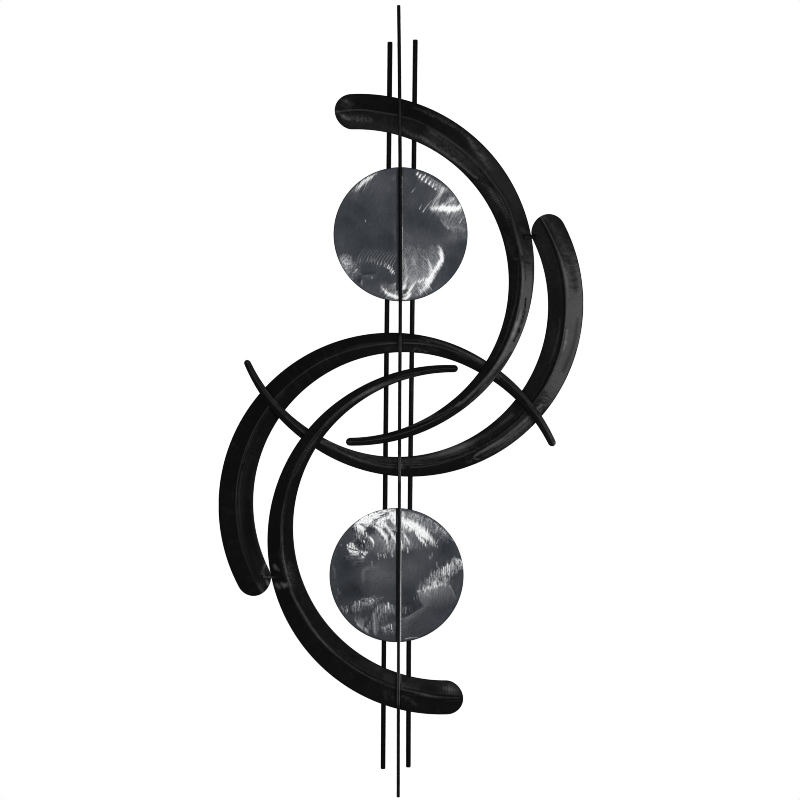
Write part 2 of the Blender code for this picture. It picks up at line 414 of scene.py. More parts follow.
def crescent_stations(spec, step=0.0012):
    """(angle, width scale) of every section: dense, with a rounded wide end and tail."""
    r = 0.93 * spec["outer"][2]
    _, _, half = mid_point(spec, spec["tip"] - 6.0)
    cap = math.degrees(half / r)
    _, _, half_tail = mid_point(spec, spec["tail"])
    tail_cap = math.degrees(half_tail / r)
    out = []
    n_cap = 34
    for i in range(n_cap):
        f = 1.0 - math.cos(0.5 * math.pi * (i + 0.12) / n_cap)
        out.append((spec["tip"] - cap * f, math.sqrt(max(0.0, 1.0 - (1.0 - f) ** 2))))
    a0, a1 = spec["tip"] - cap, spec["tail"] + tail_cap
    n = int(abs(math.radians(a0 - a1)) * r / step)
    for i in range(n + 1):
        out.append((a0 + (a1 - a0) * i / n, 1.0))
    for i in range(1, 9):
        f = math.sin(0.5 * math.pi * i / 8.3)
        out.append((a1 - tail_cap * f, math.sqrt(1.0 - f * f)))
    return np.array(out), cap


def build_crescent(name, spec, seed, look):
    """The folded sheet: front relief, rolled ridge, rounded edges and hollow back."""
    st, cap = crescent_stations(spec)
    angle, scale = st[:, 0], st[:, 1]
    n = len(st)
    cols = 60
    # columns, closer together by the ridge
    s = np.linspace(-1.0, 1.0, cols)
    v = 0.80 * s + 0.20 * s ** 3
    cx, cz, full = mid_point(spec, angle)
    a = np.radians(angle)
    ux, uz = np.cos(a), np.sin(a)
    slope = fold_slope(spec, angle)
    half = full * scale
    u = half[:, None] * v[None, :]                        # from the mid line, + outwards
    arc = np.radians(spec["tip"] - angle) * 0.25          # metres along from the tip
    x = cx[:, None] + u * ux[:, None]
    z = cz[:, None] + u * uz[:, None]
    ang = np.broadcast_to(angle[:, None], u.shape)
    al = np.broadcast_to(arc[:, None], u.shape)
    # ridge line, which wanders a little off the mid line
    shift = look["shift"](angle) * scale
    w = u - shift[:, None]
    sl = slope[:, None]
    fullw = np.broadcast_to(full[:, None], u.shape)
    aw = np.abs(w)
    # the ridge: a bead, steeper on its inner side and easy on its outer side
    r = np.minimum(0.0016, 0.30 * half + 1e-5)[:, None]
    drop = np.where(aw >= r, sl * aw, sl * (w * w + r * r) / (2.0 * r))
    taper = smooth(0.0, 0.012, arc)[:, None] * np.clip(full / 0.020, 0.25, 1.0)[:, None]
    bead = np.minimum(1.0, np.clip(-w, 0, None) / 0.0042)
    bead = bead * bead * (3 - 2 * bead)
    bead_o = np.clip(w / 0.012, 0.0, 1.0)
    bead_o = bead_o * bead_o * (3 - 2 * bead_o)
    drop = drop + taper * look["bead"](angle)[:, None] * (0.00062 * bead + 0.00030 * bead_o)
    groove = bump(w, -0.0049, 0.0007) * 0.00010 * taper
    depth = (plane_depth(spec, cx, cz) + SHEET + slope * full)[:, None] - drop - groove
    depth = depth + spec["plane"][3] * (x - cx[:, None]) + spec["plane"][4] * (z - cz[:, None])
    # forming marks: shrinker ribs on the inner half, hammer facets and long waves
    inner_side = smooth(0.002, 0.006, -w)
    outer_side = smooth(0.002, 0.006, w)
    edge = 1.0 - np.abs(u) / np.maximum(half[:, None], 1e-6)
    rib = np.sin(al / 0.0058 * 2 * np.pi + 1.4 * noise(al * 60, w * 40, seed + 5))
    rib_amp = np.clip(fbm(al * 14, w * 25, seed + 9, 3) + 0.15, 0, 1)
    relief = 0.00006 * rib * rib_amp * inner_side
    relief += 0.00011 * fbm(al * 75, w * 90, seed + 1, 3)
    relief += 0.00030 * noise(al * 9, w * 22, seed + 2) * (0.3 + 0.7 * smooth(0, 0.6, edge))
    relief += 0.00018 * noise(al * 24, w * 38, seed + 3)
    relief += 0.00004 * noise(al * 420, w * 260, seed + 4)
    relief *= smooth(0.0, 0.004, np.abs(w))
    depth = depth + relief
    tone, gloss = look["paint"](ang, al, w, u, half[:, None], seed, x, z)
    front = np.stack([x, -depth, z], -1)

    # back surface: the same form one sheet's thickness nearer the wall, fewer columns
    bcols = 13
    vb = np.linspace(-1.0, 1.0, bcols)
    inset = np.minimum(0.00040, 0.2 * half)
    ub = (half - inset)[:, None] * vb[None, :]
    wb = ub - shift[:, None]
    xb = cx[:, None] + ub * ux[:, None]
    zb = cz[:, None] + ub * uz[:, None]
    rb = 0.0012
    awb = np.abs(wb)
    dropb = np.where(awb >= rb, sl * awb, sl * (wb * wb + rb * rb) / (2.0 * rb))
    depthb = (plane_depth(spec, cx, cz) + SHEET + slope * full)[:, None] - dropb
    depthb = depthb - SHEET * np.sqrt(1.0 + sl * sl)
    depthb = depthb + spec["plane"][3] * (xb - cx[:, None]) + spec["plane"][4] * (zb - cz[:, None])
    depthb = depthb + 0.00012 * fbm(al[:, :1] * 40, wb * 50, seed + 21, 2) - 0.00018
    back = np.stack([xb, -depthb, zb], -1)

    # rim: two rows between front edge and back edge on each side, a broken edge
    def rim(side):
        col = 0 if side < 0 else cols - 1
        bcol = 0 if side < 0 else bcols - 1
        f, g = front[:, col], back[:, bcol]
        out = np.stack([side * ux, np.zeros(n), side * uz], -1)
        m1 = f * 0.78 + g * 0.22
        m2 = f * 0.22 + g * 0.78
        push = np.minimum(0.00006, 0.1 * half)[:, None]
        return [m1 + out * push, m2 + out * push]

    left, right = rim(-1), rim(1)
    verts = [front.reshape(-1, 3), back.reshape(-1, 3)] + left + right
    counts = np.cumsum([0] + [len(b) for b in verts])
    f0, b0, l1, l2, r1, r2 = counts[:6]
    faces = [grid_faces(n, cols, f0), grid_faces(n, bcols, b0, flip=True)]

    def strip(p, q, flip):
        i = np.arange(n - 1)
        f = np.stack([p[:-1], p[1:], q[1:], q[:-1]], -1)
        return f[:, ::-1] if flip else f

    idx = np.arange(n)
    fl, fr = f0 + idx * cols, f0 + idx * cols + cols - 1
    bl, br = b0 + idx * bcols, b0 + idx * bcols + bcols - 1
    faces += [strip(fl, l1 + idx, False), strip(l1 + idx, l2 + idx, False), strip(l2 + idx, bl, False)]
    faces += [strip(fr, r1 + idx, True), strip(r1 + idx, r2 + idx, True), strip(r2 + idx, br, True)]
    faces = [tuple(f) for block in faces for f in block]

    def end_face(row, flip):
        ring = [f0 + row * cols + j for j in range(cols)]
        ring += [r1 + row, r2 + row]
        ring += [b0 + row * bcols + j for j in range(bcols - 1, -1, -1)]
        ring += [l2 + row, l1 + row]
        return tuple(ring[::-1]) if flip else tuple(ring)

    faces.append(end_face(0, True))
    faces.append(end_face(n - 1, False))
    vs = np.concatenate(verts)
    # normals outwards: the front must look along -Y
    q = vs[list(faces[0])]
    if np.cross(q[1] - q[0], q[2] - q[0])[1] > 0:
        faces = [f[::-1] for f in faces]
    t_all = np.concatenate([tone.ravel(), np.full(n * bcols, PAINT), np.full(4 * n, 0.5 * PAINT)])
    g_all = np.concatenate([gloss.ravel(), np.full(n * bcols, 0.0), np.full(4 * n, 0.2)])
    obj = make_mesh(name, vs, faces, {"tone": t_all, "gloss": g_all})
    return settle(obj, name, CRESCENT_PAINT)


# ---------------------------------------------------------------- marks on the crescents
# Painted highlights of the glossy black paint, with dusty and brushed places, each one
# drawn as a line: (X, Z, half width) in mm from the origin and the lightness there, then its kind:
# s smooth, p speckled, c ribs across, l lines along, x cross hatched, q with a firm edge;
# a capital letter marks a line in a part that the key light already makes bright.
HIGHLIGHT_MARKS = {
    "crescent_upper_right": [
        ("s", [(-99.2, 189.5, 1.55, 60), (-84.7, 191.1, 1.38, 62), (-64.7, 192.6, 1.29, 58),
            (-52.3, 191.8, 1.29, 58), (-41.6, 189.8, 1.29, 48), (-20, 186.1, 1.29, 50),
            (-6.2, 184.3, 1.21, 44), (3.1, 181.8, 1.21, 38), (15.4, 178.4, 1.21, 28)]),
        ("s", [(-86.2, 196.3, 1.03, 40), (-73.9, 196.6, 1.03, 40), (-61.6, 196.9, 1.03, 32)]),
        ("s", [(-79.1, 199.2, 0.86, 38), (-60, 199.5, 0.86, 30)]),
        ("p", [(-90.1, 207.7, 2.76, 64), (-84.2, 206.3, 3.62, 92), (-79.1, 204, 3.1, 60)]),
        ("p", [(-94.7, 197.8, 5.86, 38), (-87.8, 200.9, 6.9, 46), (-80.1, 201.5, 6.21, 58),
            (-75.4, 201.5, 3.1, 64)]),
        ("p", [(-82.4, 196, 2.76, 62), (-77.7, 195.1, 2.41, 56)]),
        ("p", [(-97.8, 190.9, 2.07, 70), (-93.1, 188.6, 2.07, 78)]),
        ("s", [(-91.5, 185.1, 2.07, 76), (-88.5, 183.1, 2.93, 118), (-84.7, 180.6, 3.1, 96),
            (-79.1, 178.4, 2.59, 104)]),
        ("p", [(-92.7, 185.5, 4.48, 46), (-84.7, 180.9, 5.52, 60), (-76.2, 178.1, 4.83, 56)]),
        ("x", [(-76.2, 180, 3.79, 66), (-66.2, 178, 4.66, 86), (-57, 177.7, 4.31, 78),
            (-45.4, 177.4, 3.45, 58)]),
        ("p", [(-75.4, 184, 2.59, 34), (-58.5, 183.7, 2.41, 36), (-43.1, 181.7, 2.76, 30)]),
        ("c", [(-80.1, 172.4, 5.17, 36), (-53.9, 170.9, 6.9, 37), (-27.7, 167, 8.62, 34),
            (-9.2, 161.7, 6.9, 38)]),
        ("s", [(-46.8, 177.1, 1.03, 50), (-46.5, 165.2, 1.03, 42)]),
        ("s", [(-62.8, 175.5, 0.69, 38), (-62.7, 165.5, 0.69, 30)]),
        ("s", [(-24.9, 180.9, 0.86, 34), (-25.4, 162.4, 0.86, 34)]),
        ("s", [(-13.1, 179.4, 0.86, 34), (-13.4, 160.1, 0.86, 32)]),
        ("p", [(21.6, 195.7, 1.21, 38), (29.3, 192.9, 1.55, 48), (38.5, 188.9, 1.9, 60),
            (48.5, 184, 2.24, 54), (57, 180.3, 2.24, 58), (70.8, 173.4, 2.24, 64),
            (82.2, 167, 2.07, 58), (93.3, 159.3, 2.41, 58), (102.8, 151.7, 3.1, 66),
            (108.4, 144, 3.62, 66), (113.3, 136.3, 4.14, 64), (119.8, 127.6, 4.48, 68),
            (126.9, 118.4, 4.48, 66), (132.7, 110.1, 4.14, 58), (137.9, 102.4, 3.28, 44)]),
        ("p", [(104.7, 150.1, 1.55, 84), (109.3, 139.9, 1.72, 76), (114.9, 132.3, 1.38, 60)]),
        ("p", [(122.6, 123, 1.72, 80), (129, 114.7, 1.72, 70)]),
        ("p", [(37, 192, 3.79, 34), (69.3, 176.3, 4.48, 38), (93.9, 160.9, 4.48, 42),
            (112.4, 144, 4.83, 40), (129.3, 122.4, 5.17, 40), (141.6, 103.9, 4.48, 34)]),
        ("s", [(40.6, 165.5, 1.38, 56), (50, 160.3, 1.72, 62), (59.4, 155, 1.9, 66),
            (76.2, 144, 1.72, 60), (90.2, 133.8, 1.38, 64), (101.6, 123.9, 1.21, 58),
            (112.7, 113.3, 1.21, 58), (120.9, 103.9, 1.03, 48)]),
        ("p", [(42.3, 160.9, 2.07, 56), (55.4, 152.9, 2.93, 60), (72.4, 140.9, 2.41, 52),
            (88.5, 128.6, 1.9, 52), (104.7, 113.8, 1.72, 46)]),
        ("p", [(41.6, 154.7, 6.21, 42), (61.6, 142.4, 8.97, 44), (80.1, 128.6, 8.97, 45),
            (97, 113.9, 8.62, 43), (113.9, 97.8, 7.59, 38)]),
        ("p", [(101.6, 117.8, 7.93, 42), (115.5, 103.9, 8.28, 43), (126.2, 90.1, 7.24, 41),
            (135.5, 76.2, 5.17, 34)]),
        ("p", [(107.8, 105.5, 2.24, 56), (117, 96.8, 2.41, 58), (124.7, 91.6, 2.07, 46)]),
        ("p", [(3.1, 161.2, 2.76, 56), (13.5, 156.6, 2.76, 56), (20.9, 153.3, 2.93, 60),
            (33.9, 148.9, 3.45, 76), (42.8, 143.3, 3.97, 80), (56.7, 135.6, 4.14, 82),
            (69.3, 127.3, 3.97, 80), (83.1, 116.5, 3.45, 78), (94.2, 108.2, 2.93, 74),
            (101.6, 102.1, 2.07, 60)]),
        ("s", [(33.9, 148, 1.55, 80), (49.3, 137.8, 1.9, 90), (67.7, 125.8, 1.9, 92),
            (84.7, 113.5, 1.72, 86), (97, 103.9, 1.72, 88), (105.5, 96.8, 1.72, 92),
            (112.4, 90.8, 1.72, 88)]),
        ("s", [(114.2, 89.8, 1.9, 96), (117.9, 87.6, 1.9, 90)]),
        ("p", [(93.9, 109.2, 4.14, 50), (104.7, 100.2, 4.48, 53), (114.7, 92.5, 3.79, 50)]),
        ("p", [(1.5, 164.3, 2.76, 38), (18.5, 158.4, 2.76, 36)]),
        ("c", [(123.2, 82.1, 3.28, 46), (131.6, 74.7, 4.48, 62), (140.1, 65.4, 4.83, 78),
            (149.3, 53.7, 4.66, 80), (157, 41.4, 3.97, 72), (162.3, 31.6, 3.1, 54),
            (166.3, 19.2, 2.24, 38)]),
        ("p", [(115.5, 83.1, 3.79, 34), (129.3, 67.7, 5.17, 36), (140.1, 53.1, 4.83, 35),
            (149.3, 37.7, 4.14, 30)]),
        ("p", [(158.6, 3.8, 2.59, 28), (164, -5.4, 4.48, 34), (168.6, -19.2, 4.83, 32),
            (172.4, -30, 3.79, 32)]),
        ("s", [(174.7, -35.9, 2.41, 40), (178.6, -37.1, 1.9, 42)]),
        ("s", [(130.3, 97.1, 0.95, 50), (143.2, 81.4, 0.86, 44), (158, 58.7, 0.86, 42),
            (167.2, 40.8, 0.86, 44), (173.1, 23.9, 0.86, 44)]),
        ("s", [(170.9, 26.9, 1.55, 48), (177.7, 6.9, 1.72, 52), (182.6, -11.5, 1.9, 58),
            (186.9, -30, 1.9, 62)]),
        ("p", [(184.8, 11.5, 2.76, 40), (190.9, 3.8, 3.1, 36)]),
        ("s", [(181.7, -36.2, 0.95, 34), (182, -48.5, 0.95, 38), (181.1, -74.7, 1.03, 40),
            (178.9, -95.8, 1.03, 42), (174.9, -113.2, 1.03, 44), (169, -134.7, 1.12, 44),
            (162, -156.3, 1.12, 42), (153.2, -176.3, 1.03, 36), (144.7, -190.1, 0.86, 28)]),
        ("s", [(163.2, 27.6, 1.21, 36), (170.3, 10, 1.21, 34), (174.9, -5.4, 1.21, 30)]),
        ("S", [(187.2, -42.3, 1.55, 86), (188.4, -63.9, 1.55, 84), (187.2, -88.5, 1.55, 82)]),
        ("S", [(186.3, -114.7, 1.72, 74), (184.8, -123.6, 2.41, 104), (181.5, -131.6, 2.07, 92),
            (178.7, -138.7, 2.93, 126), (176, -146.3, 2.07, 98), (173.5, -153.2, 2.59, 118),
            (169.7, -162.4, 1.72, 84)]),
        ("S", [(169.7, -162.4, 1.72, 80), (162, -178.6, 1.72, 82), (154, -191.7, 1.72, 82),
            (144, -205.2, 1.72, 78)]),
        ("s", [(146, -202.5, 1.55, 54), (137, -214.8, 1.9, 58), (126.2, -226.5, 1.9, 62),
            (113.6, -240.3, 2.24, 70), (101.6, -252.6, 2.41, 76), (89.3, -262.5, 2.24, 74)]),
        ("l", [(141.6, -219.4, 5.86, 44), (127.8, -236.3, 6.21, 46), (113.9, -251.1, 5.52, 46),
            (100.1, -262.5, 4.48, 38)]),
        ("s", [(55.4, -273.9, 2.07, 48), (43.1, -280.4, 2.24, 66), (30.8, -285.6, 1.9, 54)]),
        ("s", [(91.6, -258.2, 2.24, 92), (84.7, -263.1, 2.07, 76)]),
        ("s", [(80.1, -265, 1.38, 60), (67.7, -272.4, 1.29, 56), (52.3, -280.4, 1.21, 60),
            (37, -286.5, 1.21, 66), (21.6, -292.1, 1.21, 60), (6.2, -297, 1.21, 46),
            (-9.2, -301, 1.12, 40), (-30.8, -306.5, 1.12, 36), (-52.3, -311.5, 1.03, 40),
            (-73.9, -314.8, 1.03, 40)]),
        ("s", [(84.7, -268.4, 1.03, 44), (61.6, -281.6, 1.12, 48), (37, -292.7, 1.12, 50),
            (15.4, -301, 1.12, 46), (-6.2, -307.5, 1.12, 42), (-30.8, -313, 1.03, 38),
            (-55.4, -317.3, 1.03, 32)]),
        ("p", [(74.8, -279.4, 1.55, 30), (61.6, -287.1, 1.38, 26)]),
        ("s", [(-76.4, -317.9, 1.55, 50), (-79.4, -318.9, 1.72, 44)]),
    ],
    "crescent_right_lower": [
        ("s", [(216.5, 27.6, 1.03, 52), (224.8, 13.1, 1.03, 50), (234, -5.4, 0.95, 54),
            (242.3, -23.9, 0.95, 62), (249.4, -42.3, 0.95, 72)]),
        ("p", [(220.2, 27.9, 2.07, 40), (226.3, 23.1, 2.07, 44)]),
        ("S", [(247.9, -42.3, 1.55, 86), (253.3, -57.7, 1.72, 90), (256.5, -73.1, 1.72, 88),
            (258.3, -94.7, 1.55, 76)]),
        ("s", [(257.1, -47.3, 0.86, 56), (273.1, -46, 0.86, 60)]),
        ("S", [(258.7, -62.7, 1.03, 66), (263.3, -65.1, 1.03, 70), (269.4, -63.3, 1.03, 64)]),
        ("S", [(260.2, -73.1, 1.03, 66), (265.7, -75.6, 1.03, 70), (272.5, -72.5, 1.03, 64)]),
        ("p", [(232.5, 15.4, 4.14, 32), (243.3, -3.8, 5.86, 35), (254, -26.9, 6.21, 38)]),
        ("S", [(274.7, -42.3, 1.72, 66), (278.4, -62.4, 1.72, 70), (280.2, -85.4, 1.72, 72)]),
        ("P", [(256.2, -147, 1.72, 92), (254, -165.5, 2.24, 98), (251, -177.8, 1.9, 92)]),
        ("S", [(277.6, -144, 1.21, 84), (275, -159.3, 1.21, 88), (271, -174.7, 1.21, 78)]),
        ("s", [(245.4, -128.6, 0.95, 34), (243.9, -147, 0.95, 44), (240.2, -165.5, 1.03, 46),
            (234.6, -184, 1.12, 46), (228.8, -197.8, 1.03, 38)]),
        ("c", [(171.7, -277.3, 3.1, 62), (161.7, -285.6, 3.1, 64), (150.9, -294.2, 2.76, 48)]),
        ("c", [(150.9, -294.8, 2.93, 42), (138.6, -303.5, 3.1, 50), (126.2, -310.2, 2.93, 52),
            (115.5, -314.8, 2.59, 50)]),
        ("p", [(170.9, -268.7, 6.9, 27), (154, -279.4, 6.9, 27)]),
        ("s", [(120.1, -314.1, 2.41, 52), (107.8, -320.1, 3.79, 80), (95.5, -325.6, 4.48, 98),
            (83.1, -330.6, 4.83, 104), (70.8, -334.6, 4.48, 98), (58.5, -338.3, 3.62, 88),
            (43.1, -341.6, 2.76, 72), (24.6, -344.1, 2.24, 60), (6.2, -345.3, 1.9, 50)]),
        ("s", [(-4.6, -345, 1.55, 48), (-21.6, -343.5, 1.55, 48), (-43.1, -341, 1.38, 42),
            (-67.7, -335.5, 1.38, 46), (-92.4, -327.2, 1.38, 52), (-113.9, -317.3, 1.55, 66)]),
        ("s", [(174, -300.7, 1.9, 70), (158.6, -313.3, 2.24, 88), (144.7, -322.2, 2.41, 104),
            (132.4, -329.6, 2.24, 98), (122.4, -334.9, 2.07, 88), (114.7, -340.1, 1.72, 84)]),
        ("s", [(114.5, -339.8, 1.38, 78), (113, -343.5, 1.38, 74), (117.6, -345.6, 1.38, 74),
            (123.2, -344.4, 1.03, 56)]),
        ("l", [(212.5, -271.7, 5.86, 62), (198.6, -285.6, 7.93, 68), (183.2, -299.5, 8.28, 70),
            (164.7, -314.2, 7.59, 68), (146.3, -326.5, 6.21, 62), (127.8, -337.9, 4.83, 54)]),
        ("s", [(217.1, -261, 2.24, 74), (200.8, -277.9, 2.76, 84), (182.3, -294.2, 2.76, 90),
            (166.3, -307.2, 2.41, 84)]),
        ("p", [(109.3, -347.9, 2.07, 44), (101.6, -350.3, 2.07, 36)]),
        ("s", [(113.9, -332.7, 1.03, 46), (95.5, -341, 1.03, 48), (77, -347.5, 1.03, 46),
            (58.5, -352.7, 1.03, 50), (37, -356.4, 1.12, 58), (15.4, -358, 1.21, 62)]),
        ("s", [(6.9, -358, 1.38, 66), (-6.2, -358, 1.72, 62), (-24.6, -356.4, 2.07, 62),
            (-43.1, -352.7, 2.24, 66), (-61.6, -347.2, 2.24, 72), (-80.1, -339.5, 2.24, 74),
            (-95.5, -331.8, 2.07, 70), (-110.9, -322.5, 1.72, 62), (-124.7, -312.7, 1.38, 52)]),
        ("s", [(18.5, -352.4, 1.38, 40), (46.2, -349.6, 1.38, 38)]),
        ("l", [(101.6, -330.2, 5.52, 44), (70.8, -340.4, 5.86, 50), (43.1, -345.6, 5.52, 52),
            (15.4, -348.1, 5.17, 56), (-15.4, -348.1, 5.17, 56), (-49.3, -343.2, 5.17, 56),
            (-80.1, -333.3, 5.17, 58), (-107.8, -321, 4.48, 56)]),
        ("s", [(0.9, -348.7, 2.24, 60), (0.6, -355.5, 2.59, 118), (2.2, -358.9, 2.24, 70)]),
        ("s", [(-107.8, -318.9, 1.55, 92), (-113.9, -317.9, 1.55, 96), (-121, -317, 1.38, 80)]),
        ("s", [(-106.2, -326.5, 1.72, 66), (-115.5, -321.6, 1.72, 78),
            (-122.2, -318.9, 1.55, 84)]),
        ("s", [(-144.7, -306.2, 1.55, 70), (-148.4, -303.5, 1.38, 62), (-157, -297, 1.21, 44),
            (-167.8, -287.8, 1.21, 38), (-177.1, -278.8, 1.03, 34)]),
        ("s", [(-184.8, -269.3, 1.38, 34), (-192.5, -261, 1.55, 42), (-200.1, -250.8, 1.38, 40),
            (-207.8, -238.5, 1.38, 46), (-214, -228.6, 1.21, 36)]),
        ("p", [(-190.3, -257.9, 1.38, 40), (-197.1, -252.6, 2.07, 44),
            (-203.2, -245.6, 1.72, 38)]),
        ("p", [(-218.6, -219.4, 1.55, 27), (-227.9, -204.9, 1.55, 27)]),
        ("p", [(-234.9, -196.9, 1.9, 44), (-230.9, -196.3, 1.9, 42)]),
    ],
    "crescent_left_upper": [
        ("s", [(-207.5, -506.7, 2.07, 90), (-211.5, -512.8, 2.24, 120),
            (-212.2, -519.6, 2.24, 130), (-210.3, -526.7, 2.07, 118)]),
        ("s", [(-206.3, -531.6, 2.24, 96), (-203.2, -536.6, 2.93, 124)]),
        ("x", [(-205.7, -510.4, 4.14, 34), (-202.3, -518.1, 4.48, 36)]),
        ("s", [(-244.2, -362.6, 1.29, 42), (-246.3, -375.8, 1.29, 46),
            (-248.2, -395.5, 1.29, 46), (-248.3, -417.5, 1.29, 44), (-247, -437.4, 1.29, 44),
            (-244.2, -457.1, 1.29, 38), (-239.7, -474.8, 1.38, 36), (-233.1, -499, 1.55, 34),
            (-225.4, -521, 1.72, 33), (-218.8, -535.2, 1.72, 42), (-211.8, -548.3, 1.55, 44)]),
        ("s", [(-251.9, -378, 0.86, 28), (-252.5, -396.4, 0.86, 32), (-251.6, -418, 0.86, 30),
            (-248.8, -442.6, 0.86, 26)]),
        ("s", [(-257.7, -384.1, 0.86, 25), (-257.7, -411.8, 0.86, 25)]),
        ("p", [(-238.9, -488.8, 3.1, 24), (-230.9, -513.5, 3.45, 27), (-221.7, -535, 3.79, 30)]),
        ("s", [(-242.5, -350.3, 1.29, 44), (-233.4, -323, 1.29, 42), (-226.5, -307.6, 1.21, 38),
            (-216.6, -290.1, 1.21, 32), (-203.4, -270.2, 1.38, 33)]),
        ("s", [(-188.8, -251.1, 2.24, 30), (-181.7, -243.1, 2.93, 34),
            (-175.5, -236.9, 2.07, 28)]),
        ("s", [(-175.5, -236.9, 1.03, 28), (-166.1, -226.2, 1.03, 28),
            (-148.4, -212.6, 1.03, 29), (-133, -202.8, 1.03, 28), (-123.2, -196.3, 1.03, 29),
            (-109.9, -188.9, 1.03, 30), (-96.8, -182.3, 1.12, 32)]),
        ("s", [(-92.4, -180.3, 1.38, 32), (-79.1, -175.4, 2.07, 40), (-67.7, -172, 2.59, 40),
            (-55.4, -169.2, 2.59, 40), (-41.6, -167.4, 2.24, 42), (-24.2, -166.1, 1.72, 48),
            (-6.2, -166, 1.55, 48)]),
        ("s", [(6.2, -166, 1.38, 54), (21.6, -166.4, 1.38, 52), (35.4, -167.2, 1.38, 52),
            (52.3, -169.7, 1.38, 46), (67.7, -173.2, 1.38, 40)]),
        ("c", [(-21.6, -174.7, 4.14, 40), (-12.3, -174.1, 4.48, 40), (-4.6, -174.1, 4.14, 42)]),
        ("c", [(4.6, -174.7, 4.48, 34), (13.9, -175.7, 4.14, 36)]),
        ("p", [(17.9, -178.7, 2.07, 42), (21.6, -175.7, 2.24, 54), (26.2, -173.8, 2.07, 44)]),
        ("p", [(28.9, -176.9, 2.07, 58), (33.9, -178.7, 2.41, 66), (39.4, -179.4, 2.07, 50)]),
        ("p", [(41.6, -174.7, 3.45, 34), (55.4, -178.4, 3.1, 28)]),
        ("s", [(4.6, -161.8, 1.72, 38), (18.5, -161.8, 1.9, 38), (26.2, -161.5, 1.72, 36)]),
        ("p", [(28.5, -162.1, 2.07, 48), (37, -163.4, 2.24, 58), (46.2, -164.6, 1.72, 48)]),
        ("s", [(32.3, -158.1, 1.38, 44), (41.6, -160.6, 1.72, 54), (50.8, -163, 2.07, 60),
            (63.7, -167.4, 2.41, 66), (77, -172.3, 2.59, 72), (92.4, -179.2, 2.59, 76),
            (106.2, -186.3, 2.59, 80), (120.1, -193.8, 2.59, 88), (129.3, -199.2, 2.24, 86)]),
        ("s", [(67.7, -173.2, 2.24, 42), (86.2, -181.8, 2.24, 40), (104.7, -191.1, 2.07, 36)]),
        ("s", [(148.6, -218.5, 1.55, 84), (151.7, -220.9, 1.38, 60)]),
        ("s", [(148.4, -215.7, 2.07, 74), (150.9, -220.3, 1.9, 60)]),
        ("s", [(152.4, -215.7, 1.38, 64), (165.5, -227.1, 1.29, 58), (177.1, -237.9, 1.29, 54),
            (187.5, -247.7, 1.29, 52), (197.7, -258.8, 1.29, 54)]),
        ("p", [(157, -215.7, 2.41, 34), (172.4, -230.2, 2.41, 36), (187.8, -246.5, 2.24, 38),
            (201.7, -262.5, 2.07, 38)]),
        ("s", [(196.3, -260.8, 1.38, 48), (206.3, -272.4, 1.38, 54), (214, -281.9, 1.38, 54),
            (225.2, -299.1, 1.47, 56), (231.6, -311.8, 1.47, 58)]),
        ("p", [(215.5, -277.9, 1.9, 42), (226.3, -294.8, 1.9, 46), (234, -311.8, 1.9, 48)]),
    ],
    "crescent_lower_left": [
        ("p", [(-181.5, -490.2, 1.72, 40), (-179.5, -501.1, 1.72, 46), (-176.7, -515, 1.72, 50),
            (-174, -527.3, 1.72, 56)]),
        ("s", [(-170.1, -543.5, 1.64, 54), (-165.4, -555, 1.72, 64), (-158.6, -568, 1.81, 74),
            (-149.5, -583, 1.9, 80), (-138.6, -601.5, 1.98, 78), (-125.3, -619.4, 1.98, 72),
            (-112.2, -633.5, 1.98, 64), (-99, -645.6, 1.72, 58), (-90.8, -651.7, 1.55, 54)]),
        ("s", [(-90.8, -651.4, 1.12, 58), (-79.1, -660.6, 1.12, 56), (-63.7, -671.4, 1.12, 54),
            (-48.3, -680.7, 1.12, 52), (-35.4, -687.7, 1.12, 48), (-28.3, -690.5, 1.12, 52)]),
        ("s", [(-87.8, -657.3, 0.86, 34), (-73.9, -666.8, 0.86, 34), (-61.6, -674.8, 0.86, 28)]),
        ("s", [(-24.6, -693.6, 1.03, 46), (-15.4, -696.2, 1.03, 46), (-6.2, -698.1, 1.03, 42)]),
        ("s", [(2.2, -699.7, 1.21, 56), (13.2, -701.9, 1.21, 54), (24.6, -704.7, 1.55, 62)]),
        ("s", [(23.1, -705, 1.9, 62), (33.9, -707.4, 2.24, 78), (43.1, -709.3, 2.07, 80),
            (52.8, -711.1, 1.72, 74), (63.1, -712.4, 1.38, 58)]),
        ("s", [(63.1, -712.4, 1.21, 50), (77, -713, 1.03, 46), (93.9, -713, 1.03, 44)]),
        ("s", [(70.8, -717.3, 0.86, 36), (92.4, -716.5, 0.86, 38)]),
        ("s", [(80.1, -708.7, 0.86, 44), (93.3, -708.1, 0.86, 40)]),
        ("s", [(-182.3, -472.5, 1.72, 44), (-183.1, -450.5, 1.72, 48),
            (-182.1, -428.6, 1.55, 52), (-178.9, -413.2, 1.38, 40)]),
        ("p", [(-178.3, -411.8, 1.21, 30), (-173.4, -394.9, 1.21, 30), (-167.8, -378, 1.38, 34),
            (-160.1, -364.7, 1.55, 44)]),
        ("c", [(-160.1, -364.7, 1.9, 50), (-152.9, -349.3, 2.24, 58), (-146.3, -337.3, 2.59, 72),
            (-137.5, -323.5, 2.41, 66), (-126.4, -308.1, 1.9, 52), (-117.6, -295.8, 2.07, 60),
            (-107.8, -284.7, 2.24, 72), (-95.5, -273, 2.24, 74), (-83.1, -263.1, 2.24, 72),
            (-71.4, -254.6, 2.41, 80)]),
        ("s", [(-71.4, -254.2, 2.24, 90), (-57.1, -245, 2.59, 104), (-39.6, -236, 2.76, 100),
            (-24.2, -229.6, 2.41, 76), (-6.6, -223.7, 1.9, 60), (8.8, -219.4, 1.72, 52),
            (19.9, -216.9, 1.55, 48), (30.8, -213.9, 1.38, 40)]),
